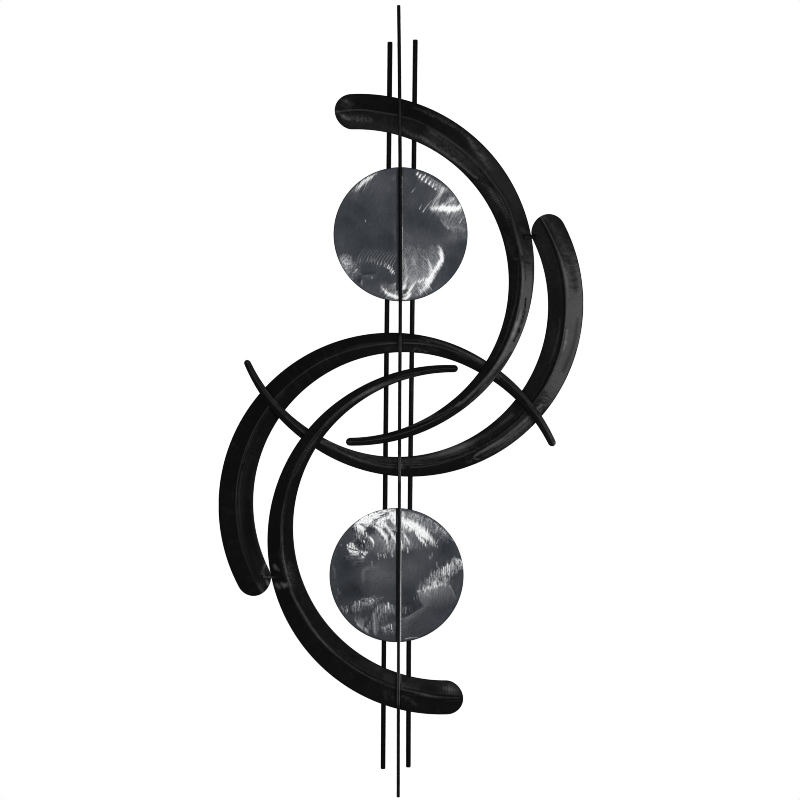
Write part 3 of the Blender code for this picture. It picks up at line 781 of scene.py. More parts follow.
        ("s", [(-49.3, -246.5, 1.03, 46), (-30.8, -237.9, 1.03, 46), (-12.3, -231.1, 1.03, 36)]),
        ("p", [(21.6, -213.9, 2.07, 40), (29.3, -212.6, 1.9, 38)]),
        ("s", [(37, -212, 1.38, 30), (55.4, -209.5, 1.21, 28), (70.8, -208.3, 1.03, 26)]),
        ("q", [(-21.6, -679.7, 5.86, 40), (-10.8, -683.7, 7.24, 42), (-6.2, -685.9, 6.9, 42)]),
        ("p", [(-46.2, -661.9, 4.31, 30), (-33.9, -667.4, 5.17, 34)]),
        ("s", [(0, -676, 1.55, 116), (0, -689, 1.55, 96)]),
        ("p", [(3.1, -692.7, 5.17, 48), (13.9, -694.5, 4.83, 44), (26.2, -697.6, 3.45, 34)]),
        ("p", [(-24.6, -700.7, 2.76, 46), (-22.2, -712.1, 3.1, 38)]),
        ("p", [(-16.9, -704.4, 5.52, 36), (-10.8, -713.6, 4.83, 38)]),
        ("s", [(-13.2, -712.7, 1.38, 66), (-11.4, -710.5, 1.38, 60)]),
        ("p", [(3.1, -709.6, 2.07, 56), (10.8, -714.2, 3.1, 52), (19.2, -720.4, 3.1, 46),
            (26.2, -725, 2.07, 36)]),
        ("s", [(7.7, -705.8, 0.86, 40), (24.6, -709.3, 0.86, 40)]),
        ("c", [(67.7, -697.6, 3.79, 66), (76.1, -699.4, 6.21, 106), (84.7, -701.3, 4.83, 74)]),
        ("c", [(77, -699.4, 2.41, 92), (80.8, -700.4, 2.07, 78)]),
        ("s", [(55.4, -734.2, 0.86, 50), (59.1, -731.5, 0.86, 46)]),
        ("s", [(-194, -508.8, 2.59, 104), (-191.5, -512.8, 2.76, 118),
            (-187.2, -516.2, 2.07, 76)]),
        ("s", [(-190.9, -538.1, 3.1, 104), (-186.9, -542.1, 3.1, 96)]),
        ("s", [(-182.6, -536.6, 2.76, 110), (-178.6, -539.6, 3.62, 140),
            (-174, -537.8, 2.93, 92)]),
        ("x", [(-182.3, -495, 4.14, 42), (-175.5, -508.8, 6.9, 56), (-170.9, -522.7, 7.59, 64),
            (-167.8, -538.1, 6.21, 52)]),
        ("p", [(-170.9, -521.2, 2.76, 36), (-167.8, -535, 2.76, 40)]),
        ("p", [(-185.5, -482.7, 2.76, 30), (-182.4, -498.1, 3.45, 33),
            (-177.1, -510.4, 3.79, 36)]),
    ],
}
# Dulled and darker strips, drawn in the same way: (X, Z, half width) and how strongly. Some are
# dull paint, some painted shade: the centre rod's painted shadow and inner halves turned from the light.
DULL_AND_SHADED = {
    "crescent_upper_right": [
        ("p", [(192.8, -97.8, 1.08, 0.85), (191.8, -110.1, 1.39, 0.85), (190, -119.3, 2, 0.85),
            (187.8, -130.1, 2.31, 0.85), (185.1, -139.3, 2.31, 0.85),
            (180.7, -151.7, 2.16, 0.85), (174.9, -163, 1.69, 0.85)]),
        ("p", [(191.8, -36.2, 0.77, 0.3), (192.1, -54.7, 0.92, 0.3), (192.8, -70.1, 0.77, 0.3)]),
        ("s", [(203.8, -42.3, 1.39, 0.5), (204.2, -62.4, 1.39, 0.5), (203.2, -85.4, 1.39, 0.5),
            (200.1, -105.5, 1.39, 0.5)]),
        ("s", [(195.5, -47.9, 0.62, 0.4), (204.8, -47.6, 0.62, 0.4)]),
        ("s", [(195.5, -52.5, 0.62, 0.4), (204.8, -52.2, 0.62, 0.4)]),
        ("s", [(189.4, -2.3, 7.7, 0.9), (198.6, -2.3, 6.16, 0.9)]),
        ("s", [(194, -14.6, 6.93, 0.7), (200.1, -22.3, 5.54, 0.7)]),
        ("s", [(194.8, -134.7, 1.85, 0.35), (187.1, -154.7, 2, 0.35), (176.4, -177.8, 2, 0.35)]),
        ("s", [(170.3, -180.9, 1.85, 0.6), (159.5, -196.3, 2.16, 0.6),
            (148.7, -210.2, 2.46, 0.6), (132.4, -228.6, 2.46, 0.6)]),
        ("s", [(120.1, -240.9, 2.16, 0.9), (101.6, -257.3, 2.46, 0.9), (84.7, -270.2, 2.62, 0.9),
            (70.8, -280.1, 2.46, 0.9), (55.4, -288.1, 2.46, 0.9), (37, -296.4, 2.31, 0.9),
            (15.4, -304.1, 2.16, 0.9)]),
        ("s", [(129.3, 93.1, 0.77, 0.95), (141.6, 77.1, 0.77, 0.95), (156.1, 57.7, 0.77, 0.95),
            (167.2, 33.6, 0.92, 0.95), (174, 11.5, 0.92, 0.95)]),
        ("s", [(133.9, 96.2, 0.77, 0.6), (147.8, 76.2, 0.77, 0.6), (161.7, 58.4, 0.77, 0.6),
            (170.1, 45.4, 0.62, 0.6)]),
        ("s", [(-93.9, 187.7, 0.92, 0.7), (-80.1, 188.6, 0.92, 0.7)]),
        ("p", [(-44.6, 183.7, 3.08, 0.4), (-37, 180.9, 2.46, 0.4)]),
        ("s", [(27.7, 169.2, 0.77, 0.4), (40, 168.9, 0.77, 0.4)]),
    ],
    "crescent_right_lower": [
        ("s", [(272.5, -128.6, 2.46, 0.3), (269.1, -159.3, 2.93, 0.3), (261.7, -184, 3.08, 0.3),
            (251, -208.6, 3.08, 0.3)]),
        # painted shadow of the centre rod
        ("s", [(-4, -341, 1.69, 0.9), (-3.8, -353.3, 1.85, 0.9), (-3.8, -367.8, 1.69, 0.9)]),
        ("p", [(-8.3, -350.3, 2.16, 0.4), (-8.6, -362.6, 2.16, 0.4)]),
        ("s", [(261, -69.4, 1.23, 0.28), (266.4, -71, 1.23, 0.28), (272.5, -67.9, 1.23, 0.28)]),
        ("s", [(260.2, -79.3, 1.39, 0.28), (266.4, -81.8, 1.39, 0.28), (274, -79.3, 1.23, 0.28)]),
        ("s", [(259.4, -57.1, 1.23, 0.22), (264.8, -58.7, 1.23, 0.22), (271, -56.2, 1.23, 0.22)]),
        ("p", [(246.3, -26.9, 4.62, 0.3), (255.6, -42.3, 4.62, 0.3)]),
        ("s", [(257.1, -36.2, 3.39, 0.36), (263.9, -50, 4.62, 0.36), (267.9, -67, 4.93, 0.36),
            (269.7, -85.4, 3.7, 0.36)]),
        ("s", [(205.5, -3.1, 4, 0.45), (212.5, -3.1, 4.93, 0.45)]),
        ("s", [(221.7, -269.6, 2.46, 0.85), (212.5, -282.5, 3.7, 0.85),
            (204.8, -291.8, 2.77, 0.85)]),
        ("s", [(194, -261.9, 2.16, 0.6), (186.3, -269.6, 1.85, 0.6)]),
    ],
    "crescent_left_upper": [
        # painted shade on the inner half of the left limb, turned from the light
        ("s", [(-211.7, -518.8, 3.39, 0.8), (-217.5, -499.9, 4.93, 0.8),
            (-226.9, -470.3, 5.23, 0.8), (-232.8, -440.5, 4.62, 0.8),
            (-234.2, -411.8, 3.7, 0.8)]),
        ("s", [(145.6, -223.4, 2.77, 0.8), (163.2, -240, 3.08, 0.8), (180.1, -256.3, 3.23, 0.8),
            (194, -272.7, 3.54, 0.8), (207.2, -290.2, 3.23, 0.8), (218.6, -307.2, 2.77, 0.8),
            (227.2, -320.4, 1.69, 0.8)]),
        # painted shadow of the centre rod
        ("s", [(-4.3, -153.8, 1.08, 1), (-4.3, -180, 1.08, 1)]),
        ("s", [(70.8, -178.7, 2.46, 0.55), (89.3, -188.6, 2.93, 0.55),
            (107.8, -199.1, 3.08, 0.55), (121.6, -208, 2.46, 0.55)]),
        ("s", [(61.6, -168, 1.23, 0.9), (86.2, -177.8, 1.23, 0.9), (107.8, -188.3, 1.23, 0.9),
            (129.3, -199.4, 1.23, 0.9)]),
        ("s", [(84.7, -191.7, 3.85, 0.7), (107.8, -202.5, 3.85, 0.7),
            (126.2, -213.2, 3.08, 0.7)]),
        ("s", [(150.3, -223.7, 1.69, 0.95), (169.4, -242.2, 2.46, 0.95),
            (186.3, -260.3, 2.62, 0.95), (201.7, -278.5, 2.62, 0.95), (216.5, -301, 2.31, 0.95),
            (225.7, -316.4, 2, 0.95)]),
        ("s", [(158.6, -218.5, 3.08, 0.62), (175.5, -234.8, 3.39, 0.62),
            (192.5, -253.3, 3.39, 0.62), (209.4, -273.3, 3.39, 0.62),
            (226.3, -297.9, 3.08, 0.62), (235.6, -316.4, 2.46, 0.62)]),
        # painted shadow of the centre rod
        ("s", [(-3.5, -150.1, 1.69, 0.9), (-3.5, -182.4, 1.69, 0.9)]),
        # painted shade on the inner half of the left limb, turned from the light
        ("s", [(-220.2, -528.9, 7.08, 0.9), (-230.9, -498.1, 8.31, 0.9),
            (-236.8, -467.3, 8.93, 0.9), (-238.3, -436.5, 8.93, 0.9),
            (-237.4, -405.7, 8.62, 0.9), (-233.4, -374.9, 7.7, 0.9),
            (-226.3, -350.3, 6.16, 0.9)]),
    ],
    "crescent_lower_left": [
        ("s", [(38.5, -696.7, 6.16, 0.6), (50.8, -700.7, 6.16, 0.6)]),
        ("s", [(-192.5, -519.6, 3.7, 0.6), (-184.8, -527.3, 5.23, 0.6),
            (-178.6, -530.4, 4, 0.6)]),
        # the next two: painted shadow of the centre rod
        ("s", [(-7.5, -699.7, 1.69, 1), (-7.4, -725.9, 1.69, 1)]),
        ("s", [(-6.2, -672, 1.69, 1), (-6.3, -698.2, 1.69, 1)]),
        ("s", [(7.7, -698.8, 0.77, 0.7), (26.2, -702.2, 0.77, 0.7)]),
        ("s", [(27.7, -712.7, 1.23, 0.7), (46.2, -716.1, 1.39, 0.7), (58.5, -716.7, 1.08, 0.7)]),
        ("s", [(77, -710.8, 0.69, 0.8), (93.9, -710.5, 0.69, 0.8)]),
        ("s", [(73.9, -715.1, 0.69, 0.8), (93.9, -715, 0.69, 0.8)]),
    ],
}
# Where the ridge leaves the middle of the sheet: (angle, mm outwards); and how high its bead is.
RIDGE_SHIFT = {
    "crescent_upper_right": [(100, 2.6), (97, 2.8), (92, 3.2), (87, 2.5), (82, 1.6), (75, 1.7), (69, 2.1), (64, 1.7), (56, 0.1), (48, -0.2), (40, -1.2), (32, -2.0), (22, -2.3), (13, -1.8), (6, -0.8), (0, 0)],
    "crescent_right_lower": [(-8, 0), (-18, 1.4), (-26, 1.9), (-36, 1.6), (-48, 1.1), (-58, 0.8), (-68, 0), (-78, 0), (-86, -1.6), (-92, -2.2), (-106, -1.7), (-118, -1.2), (-128, 0)],
    "crescent_left_upper": [(-245, 0), (-256, -1.4), (-266, -1.8), (-274, -0.8), (-282, 0.6), (-290, 1.9), (-296, 2.6), (-303, 3.1), (-310, 3.2), (-318, 2.4), (-326, 1.7), (-336, 1.1), (-345, 0.4)],
    "crescent_lower_left": [(-78, 3.2), (-82, 2.5), (-88, 0), (-92, -1.2), (-95, -2.2), (-98.5, -4.0), (-101.6, -3.7), (-108.5, -3.3), (-111, -3.5), (-113.4, -4.5), (-117, -3.4), (-123, -3.0), (-129, -2.5), (-135, -1.2), (-142, -0.3), (-150, 0), (-180, 0), (-190, -1.0), (-206, -1.2), (-222, -1.8), (-236, -1.2), (-250, -1.0), (-262, -0.8), (-274, 0)],
}
RIDGE_BEAD = {
    "crescent_upper_right": [(82, 56, 0.35)],
    "crescent_right_lower": [],
    "crescent_left_upper": [(-140, -270, 0.12)],
    "crescent_lower_left": [(-80, -118, 0.35), (-178, -206, 0.7), (-208, -276, 0.3)],
}
PAINT = 0.018


def shown_as(level):
    """Reflectance that a lightness of 0 to 255 on the print stands for."""
    v = (np.asarray(level, float) / 255.0) ** PRINT_GAMMA
    return np.where(v <= 0.04045, v / 12.92, ((v + 0.055) / 1.055) ** 2.4)


def trace(px, pz, points):
    """Distance from a drawn line in units of its half width, and its level there."""
    best = np.full(px.shape, 9.0)
    level = np.zeros(px.shape)
    for (x0, z0, w0, l0), (x1, z1, w1, l1) in zip(points[:-1], points[1:]):
        dx, dz = x1 - x0, z1 - z0
        t = np.clip(((px - x0) * dx + (pz - z0) * dz) / (dx * dx + dz * dz + 1e-9), 0.0, 1.0)
        d = np.hypot(px - x0 - t * dx, pz - z0 - t * dz) / (w0 + (w1 - w0) * t)
        closer = d < best
        best = np.where(closer, d, best)
        level = np.where(closer, l0 + (l1 - l0) * t, level)
    return best, level


def mark_texture(kind, al, w, seed):
    """How the marks of one kind are broken up, around 1."""
    kind = kind.lower()
    if kind == "s":
        return 1.0 + 0.22 * fbm(al * 210, w * 300, seed, 2)
    if kind == "c":
        rib = 0.5 + 0.5 * np.cos(2 * np.pi * al / 0.0043 + 2.4 * noise(al * 70, w * 60, seed))
        return 0.34 + 1.05 * rib * (0.85 + 0.6 * noise(al * 110, w * 330, seed + 1))
    if kind == "l":
        return 0.85 + 0.75 * noise(al * 45, w * 820, seed) + 0.35 * noise(al * 400, w * 500, seed + 1)
    if kind == "x":
        return 0.80 + 0.9 * noise((al + w) * 420, (al - w) * 420, seed)
    if kind == "q":
        return 1.0 + 0.25 * fbm(al * 200, w * 300, seed, 3)
    return 0.98 + 0.75 * noise(al * 300, w * 380, seed) + 0.35 * noise(al * 120, w * 170, seed + 1)


FALL = {"s": 2.6, "p": 1.9, "c": 2.2, "l": 2.0, "x": 2.2, "q": 6.0}


def make_look(name):
    angles, amounts = zip(*sorted(RIDGE_SHIFT[name]))

    def shift(angle):
        return 0.001 * np.interp(angle, angles, amounts)

    def bead(angle):
        total = np.ones_like(angle)
        for a0, a1, factor in RIDGE_BEAD[name]:
            lo, hi = min(a0, a1), max(a0, a1)
            inside = smooth(lo - 8, lo, angle) * (1 - smooth(hi, hi + 8, angle))
            total = total * (1 + (factor - 1) * inside)
        return total

    def paint(ang, al, w, u, half, seed, x, z):
        """Lightness and gloss of the paint, with this crescent's own marks: painted highlights and painted shade."""
        base = PAINT * (1.0 + 0.45 * fbm(al * 30, w * 60, seed + 31, 4))
        streak = np.clip(fbm(al * 160, w * 30, seed + 32, 2), 0, 1)      # cross brush lines
        base = base + 0.016 * streak * (0.3 + 0.7 * np.clip(noise(al * 12, w * 20, seed + 33) + 0.3, 0, 1))
        dust = np.clip(noise(al * 420, w * 520, seed + 35), 0, 1) ** 2   # specks
        base = base + 0.05 * dust * np.clip(fbm(al * 16, w * 30, seed + 36, 2) + 0.15, 0, 1)
        edge = half - np.abs(u)
        base = base * (0.35 + 0.65 * smooth(0.0003, 0.0019, edge))
        gloss = 0.55 + 0.25 * fbm(al * 18, w * 30, seed + 34, 3)
        px, pz = 1000.0 * x, 1000.0 * z
        # painted highlights: each mark lifts the paint's lightness along its line
        lift = np.zeros(px.shape)
        for number, (kind, points) in enumerate(HIGHLIGHT_MARKS[name]):
            xs, zs, ws, _ = zip(*points)
            pad = 3.0 * max(ws)
            near = ((px > min(xs) - pad) & (px < max(xs) + pad) & (pz > min(zs) - pad) & (pz < max(zs) + pad))
            if not near.any():
                continue
            d, level = trace(px[near], pz[near], points)
            ground = 62.0 if kind.isupper() else 17.0
            add = np.maximum(shown_as(level) - shown_as(ground), 0.0) * np.exp(-d ** FALL[kind.lower()])
            add = add * np.clip(mark_texture(kind, al[near], w[near], seed + 50 + number), 0.0, 2.0)
            lift[near] = np.maximum(lift[near], add)
        # dulled paint and painted shade: the strips darken the paint and take away its gloss
        for number, (kind, points) in enumerate(DULL_AND_SHADED[name]):
            xs, zs, ws, _ = zip(*points)
            pad = 3.0 * max(ws)
            near = ((px > min(xs) - pad) & (px < max(xs) + pad) & (pz > min(zs) - pad) & (pz < max(zs) + pad))
            if not near.any():
                continue
            d, strength = trace(px[near], pz[near], points)
            m = strength * np.exp(-d ** 2.4)
            m = np.clip(m * (mark_texture(kind, al[near], w[near], seed + 350 + number) if kind != "s" else 1.0), 0, 1)
            gloss[near] = gloss[near] - 1.5 * m
            base[near] = base[near] * (1 - 0.7 * m)
            lift[near] = lift[near] * (1 - 0.85 * m)
        return np.clip(base + lift, 0.0, 1.0), np.clip(gloss, -1.0, 1.0)

    return dict(shift=shift, bead=bead, paint=paint)


for number, (key, value) in enumerate(CRESCENTS.items()):
    build_crescent(key, value, 100 * (number + 1), make_look(key))

# ------------------------------------------------------------------ discs
def build_disc(name, centre, shine_of, seed):
    """Round plate: a fine front grid carrying the grinding relief, a plainer back."""
    step = DISC_R * 2 / 288
    n_r = int(round(DISC_R / step))
    # rings of points, each ring's count follows its length, laid as a warped square grid
    m = 2 * n_r + 1
    g = np.linspace(-1.0, 1.0, m)
    gx, gz = np.meshgrid(g, g, indexing="ij")
    # square to disc, keeping rings round
    rad = np.maximum(np.abs(gx), np.abs(gz))
    with np.errstate(divide="ignore", invalid="ignore"):
        t = np.where(np.abs(gx) >= np.abs(gz), gz / np.where(gx == 0, 1, gx), gx / np.where(gz == 0, 1, gz))
    ang = t * (np.pi / 4)
    px = np.where(np.abs(gx) >= np.abs(gz), np.sign(gx) * rad * np.cos(ang), np.sign(gz) * rad * np.sin(ang))
    pz = np.where(np.abs(gx) >= np.abs(gz), np.sign(gx) * rad * np.sin(ang), np.sign(gz) * rad * np.cos(ang))
    R = DISC_R - 0.0003
    x, z = px * R, pz * R
    shine, swirl, relief = shine_of(x, z, seed)
    d_front = SEAT_DEPTH + SHEET - 0.00003
    edge = 1.0 - smooth(0.0, 0.0012, R - np.hypot(x, z))
    depth = d_front - 0.00008 + relief * (1.0 - edge) - 0.00010 * edge
    front = np.stack([centre[0] + x, -depth, centre[1] + z], -1).reshape(-1, 3)
    # border ring indices of the square grid, in order
    top = [(i, 0) for i in range(m - 1)]
    rgt = [(m - 1, j) for j in range(m - 1)]
    bot = [(i, m - 1) for i in range(m - 1, 0, -1)]
    lft = [(0, j) for j in range(m - 1, 0, -1)]
    ring = np.array([i * m + j for i, j in top + rgt + bot + lft])
    nr = len(ring)
    faces = [tuple(f) for f in grid_faces(m, m)]
    verts = [front]
    base = len(front)
    ringpos = front[ring]
    ca = np.arctan2(ringpos[:, 2] - centre[1], ringpos[:, 0] - centre[0])
    prev = ring
    start = base
    back_depth = SEAT_DEPTH + 0.00002
    profile = [(DISC_R - 0.00002, d_front - 0.00035), (DISC_R - 0.00002, back_depth + 0.0003),
               (DISC_R - 0.0004, back_depth), (DISC_R * 0.93, back_depth), (DISC_R * 0.8, back_depth),
               (DISC_R * 0.6, back_depth), (DISC_R * 0.4, back_depth), (DISC_R * 0.2, back_depth)]
    for rr, dd in profile:
        wob = 0.00003 * noise(ca * 9, np.full(nr, rr * 300), seed + 7) if rr < DISC_R * 0.95 else 0.0
        ringv = np.stack([centre[0] + rr * np.cos(ca), -(dd + wob) * np.ones(nr), centre[1] + rr * np.sin(ca)], -1)
        verts.append(ringv)
        cur = start + np.arange(nr)
        nx = np.roll(cur, -1)
        px_ = np.roll(prev, -1)
        faces += [tuple(f) for f in np.stack([prev, px_, nx, cur], -1)]
        prev = cur
        start += nr
    verts.append(np.array([[centre[0], -back_depth, centre[1]]]))
    cindex = start
    faces += [(int(prev[i]), int(prev[(i + 1) % nr]), cindex) for i in range(nr)]
    vs = np.concatenate(verts)
    q = vs[list(faces[0])]
    if np.cross(q[1] - q[0], q[2] - q[0])[1] > 0:
        faces = [f[::-1] for f in faces]
    rest = len(vs) - base
    rp = vs[base:]
    sh_b = 0.16 + 0.03 * fbm(rp[:, 0] * 40, rp[:, 2] * 40, seed + 8, 3)
    sw_b = np.hypot(rp[:, 0] - centre[0] + 0.05, rp[:, 2] - centre[1] - 0.03)
    obj = make_mesh(name, vs, faces, {"shine": np.concatenate([shine.ravel(), sh_b]),
                                      "swirl": np.concatenate([swirl.ravel(), sw_b])})
    return settle(obj, name, STEEL)


# ---------------------------------------------------------------- the ground finish
# Laid out in millimetres from each disc's centre (across, up).
#   CLOUDS   (across, up, half sizes, turn, lift): broad lighter and darker places
#   ZONES    (outline of (across, up, softness, brightness), strength, then the direction,
#            spacing and depth of the scratches, and the grain)
#   SWEEPS   (path of (across, up, half width, brightness), direction and spacing of the
#            scratches, how strongly they break it up, how far they feather it)
#   STROKES  (from, to, half width, brightness): single bright scratches
#   COMBS    rows of fine arcs: (first centre, step, count, radius, angles, width, ends)
#   SHADES   zones laid over the sweeps, the centre rod's painted shadow among them
CLOUDS_UPPER = [
    (-23.2, 84.2, 24.6, 13.9, 0, 0.03), (30.7, 8.8, 27.7, 21.6, 0, 0.01),
    (7.6, 85.8, 10.8, 12.3, 0, 0.03), (-30.9, 64.2, 15.4, 20, 0, 0.03),
    (-60.1, 42.7, 18.5, 24.6, 0, -0.01), (-9.3, 44.2, 7.7, 24.6, 0, 0.01),
    (27.6, 21.1, 26.2, 13.9, -20, -0.04), (36.9, -11.2, 26.2, 10.8, 0, 0.04),
    (83, -4.3, 10.8, 7.7, 0, 0.1), (95.4, -18.9, 7.7, 9.2, 0, -0.03),
    (75.3, -46.6, 13.9, 24.6, 20, -0.04), (-90.9, -11.2, 6.2, 13.9, 0, 0.04),
    (-10.9, 85.8, 3.4, 4.6, 0, 0.06), (-17, 68.8, 6.2, 7.7, 0, 0.03),
    (-43.2, -17.4, 33.9, 21.6, 0, -0.02), (-77.1, 28.8, 18.5, 18.5, 0, -0.01),
    (-74, 58.1, 9.2, 9.2, 0, 0.03), (-3.2, 28.8, 3.1, 30.8, 0, 0), (15.3, 51.9, 12.3, 12.3, 0, 0.01),
    (-18.6, -25.1, 15.4, 15.4, 0, -0.01), (-46.3, -86.7, 21.6, 12.3, 0, 0.03),
    (-84.8, 8.8, 9.2, 15.4, 0, -0.01), (67.6, -17.4, 15.4, 9.2, 0, 0.01),
    (21.4, 39.6, 20, 52.4, 0, 0.02), (18.4, -25.1, 13.9, 21.6, 0, 0.02),
    (56.9, 56.5, 12.3, 21.6, -30, 0.03), (-43.2, 68.8, 24.6, 13.9, 0, 0.01),
]
ZONES_UPPER = [
    ([(43, 40.4, 3.85, 0.33), (52.2, 53.5, 3.85, 0.33), (63.8, 71.9, 1.85, 0.42),
        (72.3, 71.9, 1.54, 0.36), (87.7, 55, 1.23, 0.36), (96.9, 35, 1.23, 0.34),
        (101.5, 18.1, 1.23, 0.34), (103.8, -9.7, 9.24, 0.29), (89.2, -3.5, 10.78, 0.33),
        (80, 2.6, 6.16, 0.37), (71.3, 8.5, 1.54, 0.4), (61.5, 20.4, 1.23, 0.34),
        (57.6, 29.1, 0.92, 0.33), (46.9, 35, 0.92, 0.36)], 1, 62, 2.2, 0.2, 0.16),
    ([(22.2, 95.6, 2.31, 0.36), (30.7, 94.1, 1.23, 0.4), (46.1, 87.9, 1.23, 0.42),
        (61.5, 77.5, 1.23, 0.44), (71.5, 68.2, 1.54, 0.46), (66.1, 63.5, 2.31, 0.5),
        (56.9, 65.8, 3.08, 0.44), (43, 75.6, 3.08, 0.38), (30.7, 81.8, 3.08, 0.34),
        (23, 90.4, 2.31, 0.34)], 0.9, 62, 1.9, 0.3, 0.25),
    ([(72.3, 55, 3.08, 0.4), (78.4, 57.3, 2.31, 0.52), (84.6, 51.9, 3.08, 0.44),
        (86.1, 44.2, 3.08, 0.42), (70.7, 42.7, 3.08, 0.42)], 0.8, 62, 2.2, 0.15, 0.18),
    ([(3, -14.3, 6.16, 0.36), (13.8, -15.1, 7.7, 0.37), (24.5, -18.9, 9.24, 0.36),
        (38.4, -18.9, 9.24, 0.35), (52.2, -18.1, 6.16, 0.36), (59.2, -18.1, 2.31, 0.36),
        (65.5, -25.1, 1.54, 0.38), (67, -37.4, 1.23, 0.42), (64.6, -48.2, 0.92, 0.42),
        (55, -63.5, 0.92, 0.44), (47.3, -74.3, 1.23, 0.5), (40.5, -84.3, 3.08, 0.46),
        (30.7, -94.3, 3.08, 0.38), (18.4, -97.4, 1.54, 0.35),
        (3, -97.4, 1.54, 0.42)], 1, -58, 2, 0.2, 0.22),
    ([(4.5, -28.1, 3.08, 0.38), (12.2, -25.1, 4.62, 0.4), (26.1, -34.3, 4.62, 0.4),
        (30.7, -63.5, 4.62, 0.42), (18.4, -79, 3.08, 0.46),
        (3.8, -85.1, 1.54, 0.56)], 0.8, 55, 1.9, 0.3, 0.22),
    ([(-95.6, -33.5, 3.85, 0.36), (-84.8, -30.4, 6.16, 0.4), (-75.5, -34.3, 7.7, 0.34),
        (-66.3, -41.2, 7.7, 0.31), (-61.7, -52, 6.16, 0.34), (-67.1, -63.5, 4.62, 0.34),
        (-74, -72, 4.62, 0.32), (-83.2, -63.5, 1.23, 0.44),
        (-90.5, -51.2, 1.23, 0.48)], 1, 62, 1.8, 0.32, 0.36),
    ([(-92.5, -37.4, 3.08, 0.42), (-81.7, -35.8, 4.62, 0.46), (-74, -42, 4.62, 0.42),
        (-74, -51.2, 4.62, 0.42), (-84.8, -55.9, 2.31, 0.46)], 0.8, 62, 1.8, 0.35, 0.45),
    ([(-60.1, -63.5, 0.92, 0.32), (-52.5, -62, 1.23, 0.34), (-43.2, -60.9, 1.23, 0.34),
        (-38.6, -64.3, 3.08, 0.3), (-44.8, -71.2, 6.16, 0.27),
        (-57.1, -71.2, 4.62, 0.29)], 0.8, 70, 2.4, 0.15, 0.2),
    ([(-35.5, -75.9, 6.16, 0.27), (-24.7, -74.3, 4.62, 0.31), (-14, -77.4, 2.31, 0.36),
        (-5, -73.6, 1.54, 0.42), (-5, -97.4, 1.54, 0.46), (-17, -98.2, 3.08, 0.4),
        (-29.4, -91.3, 4.62, 0.3)], 0.95, 60, 2, 0.18, 0.28),
]
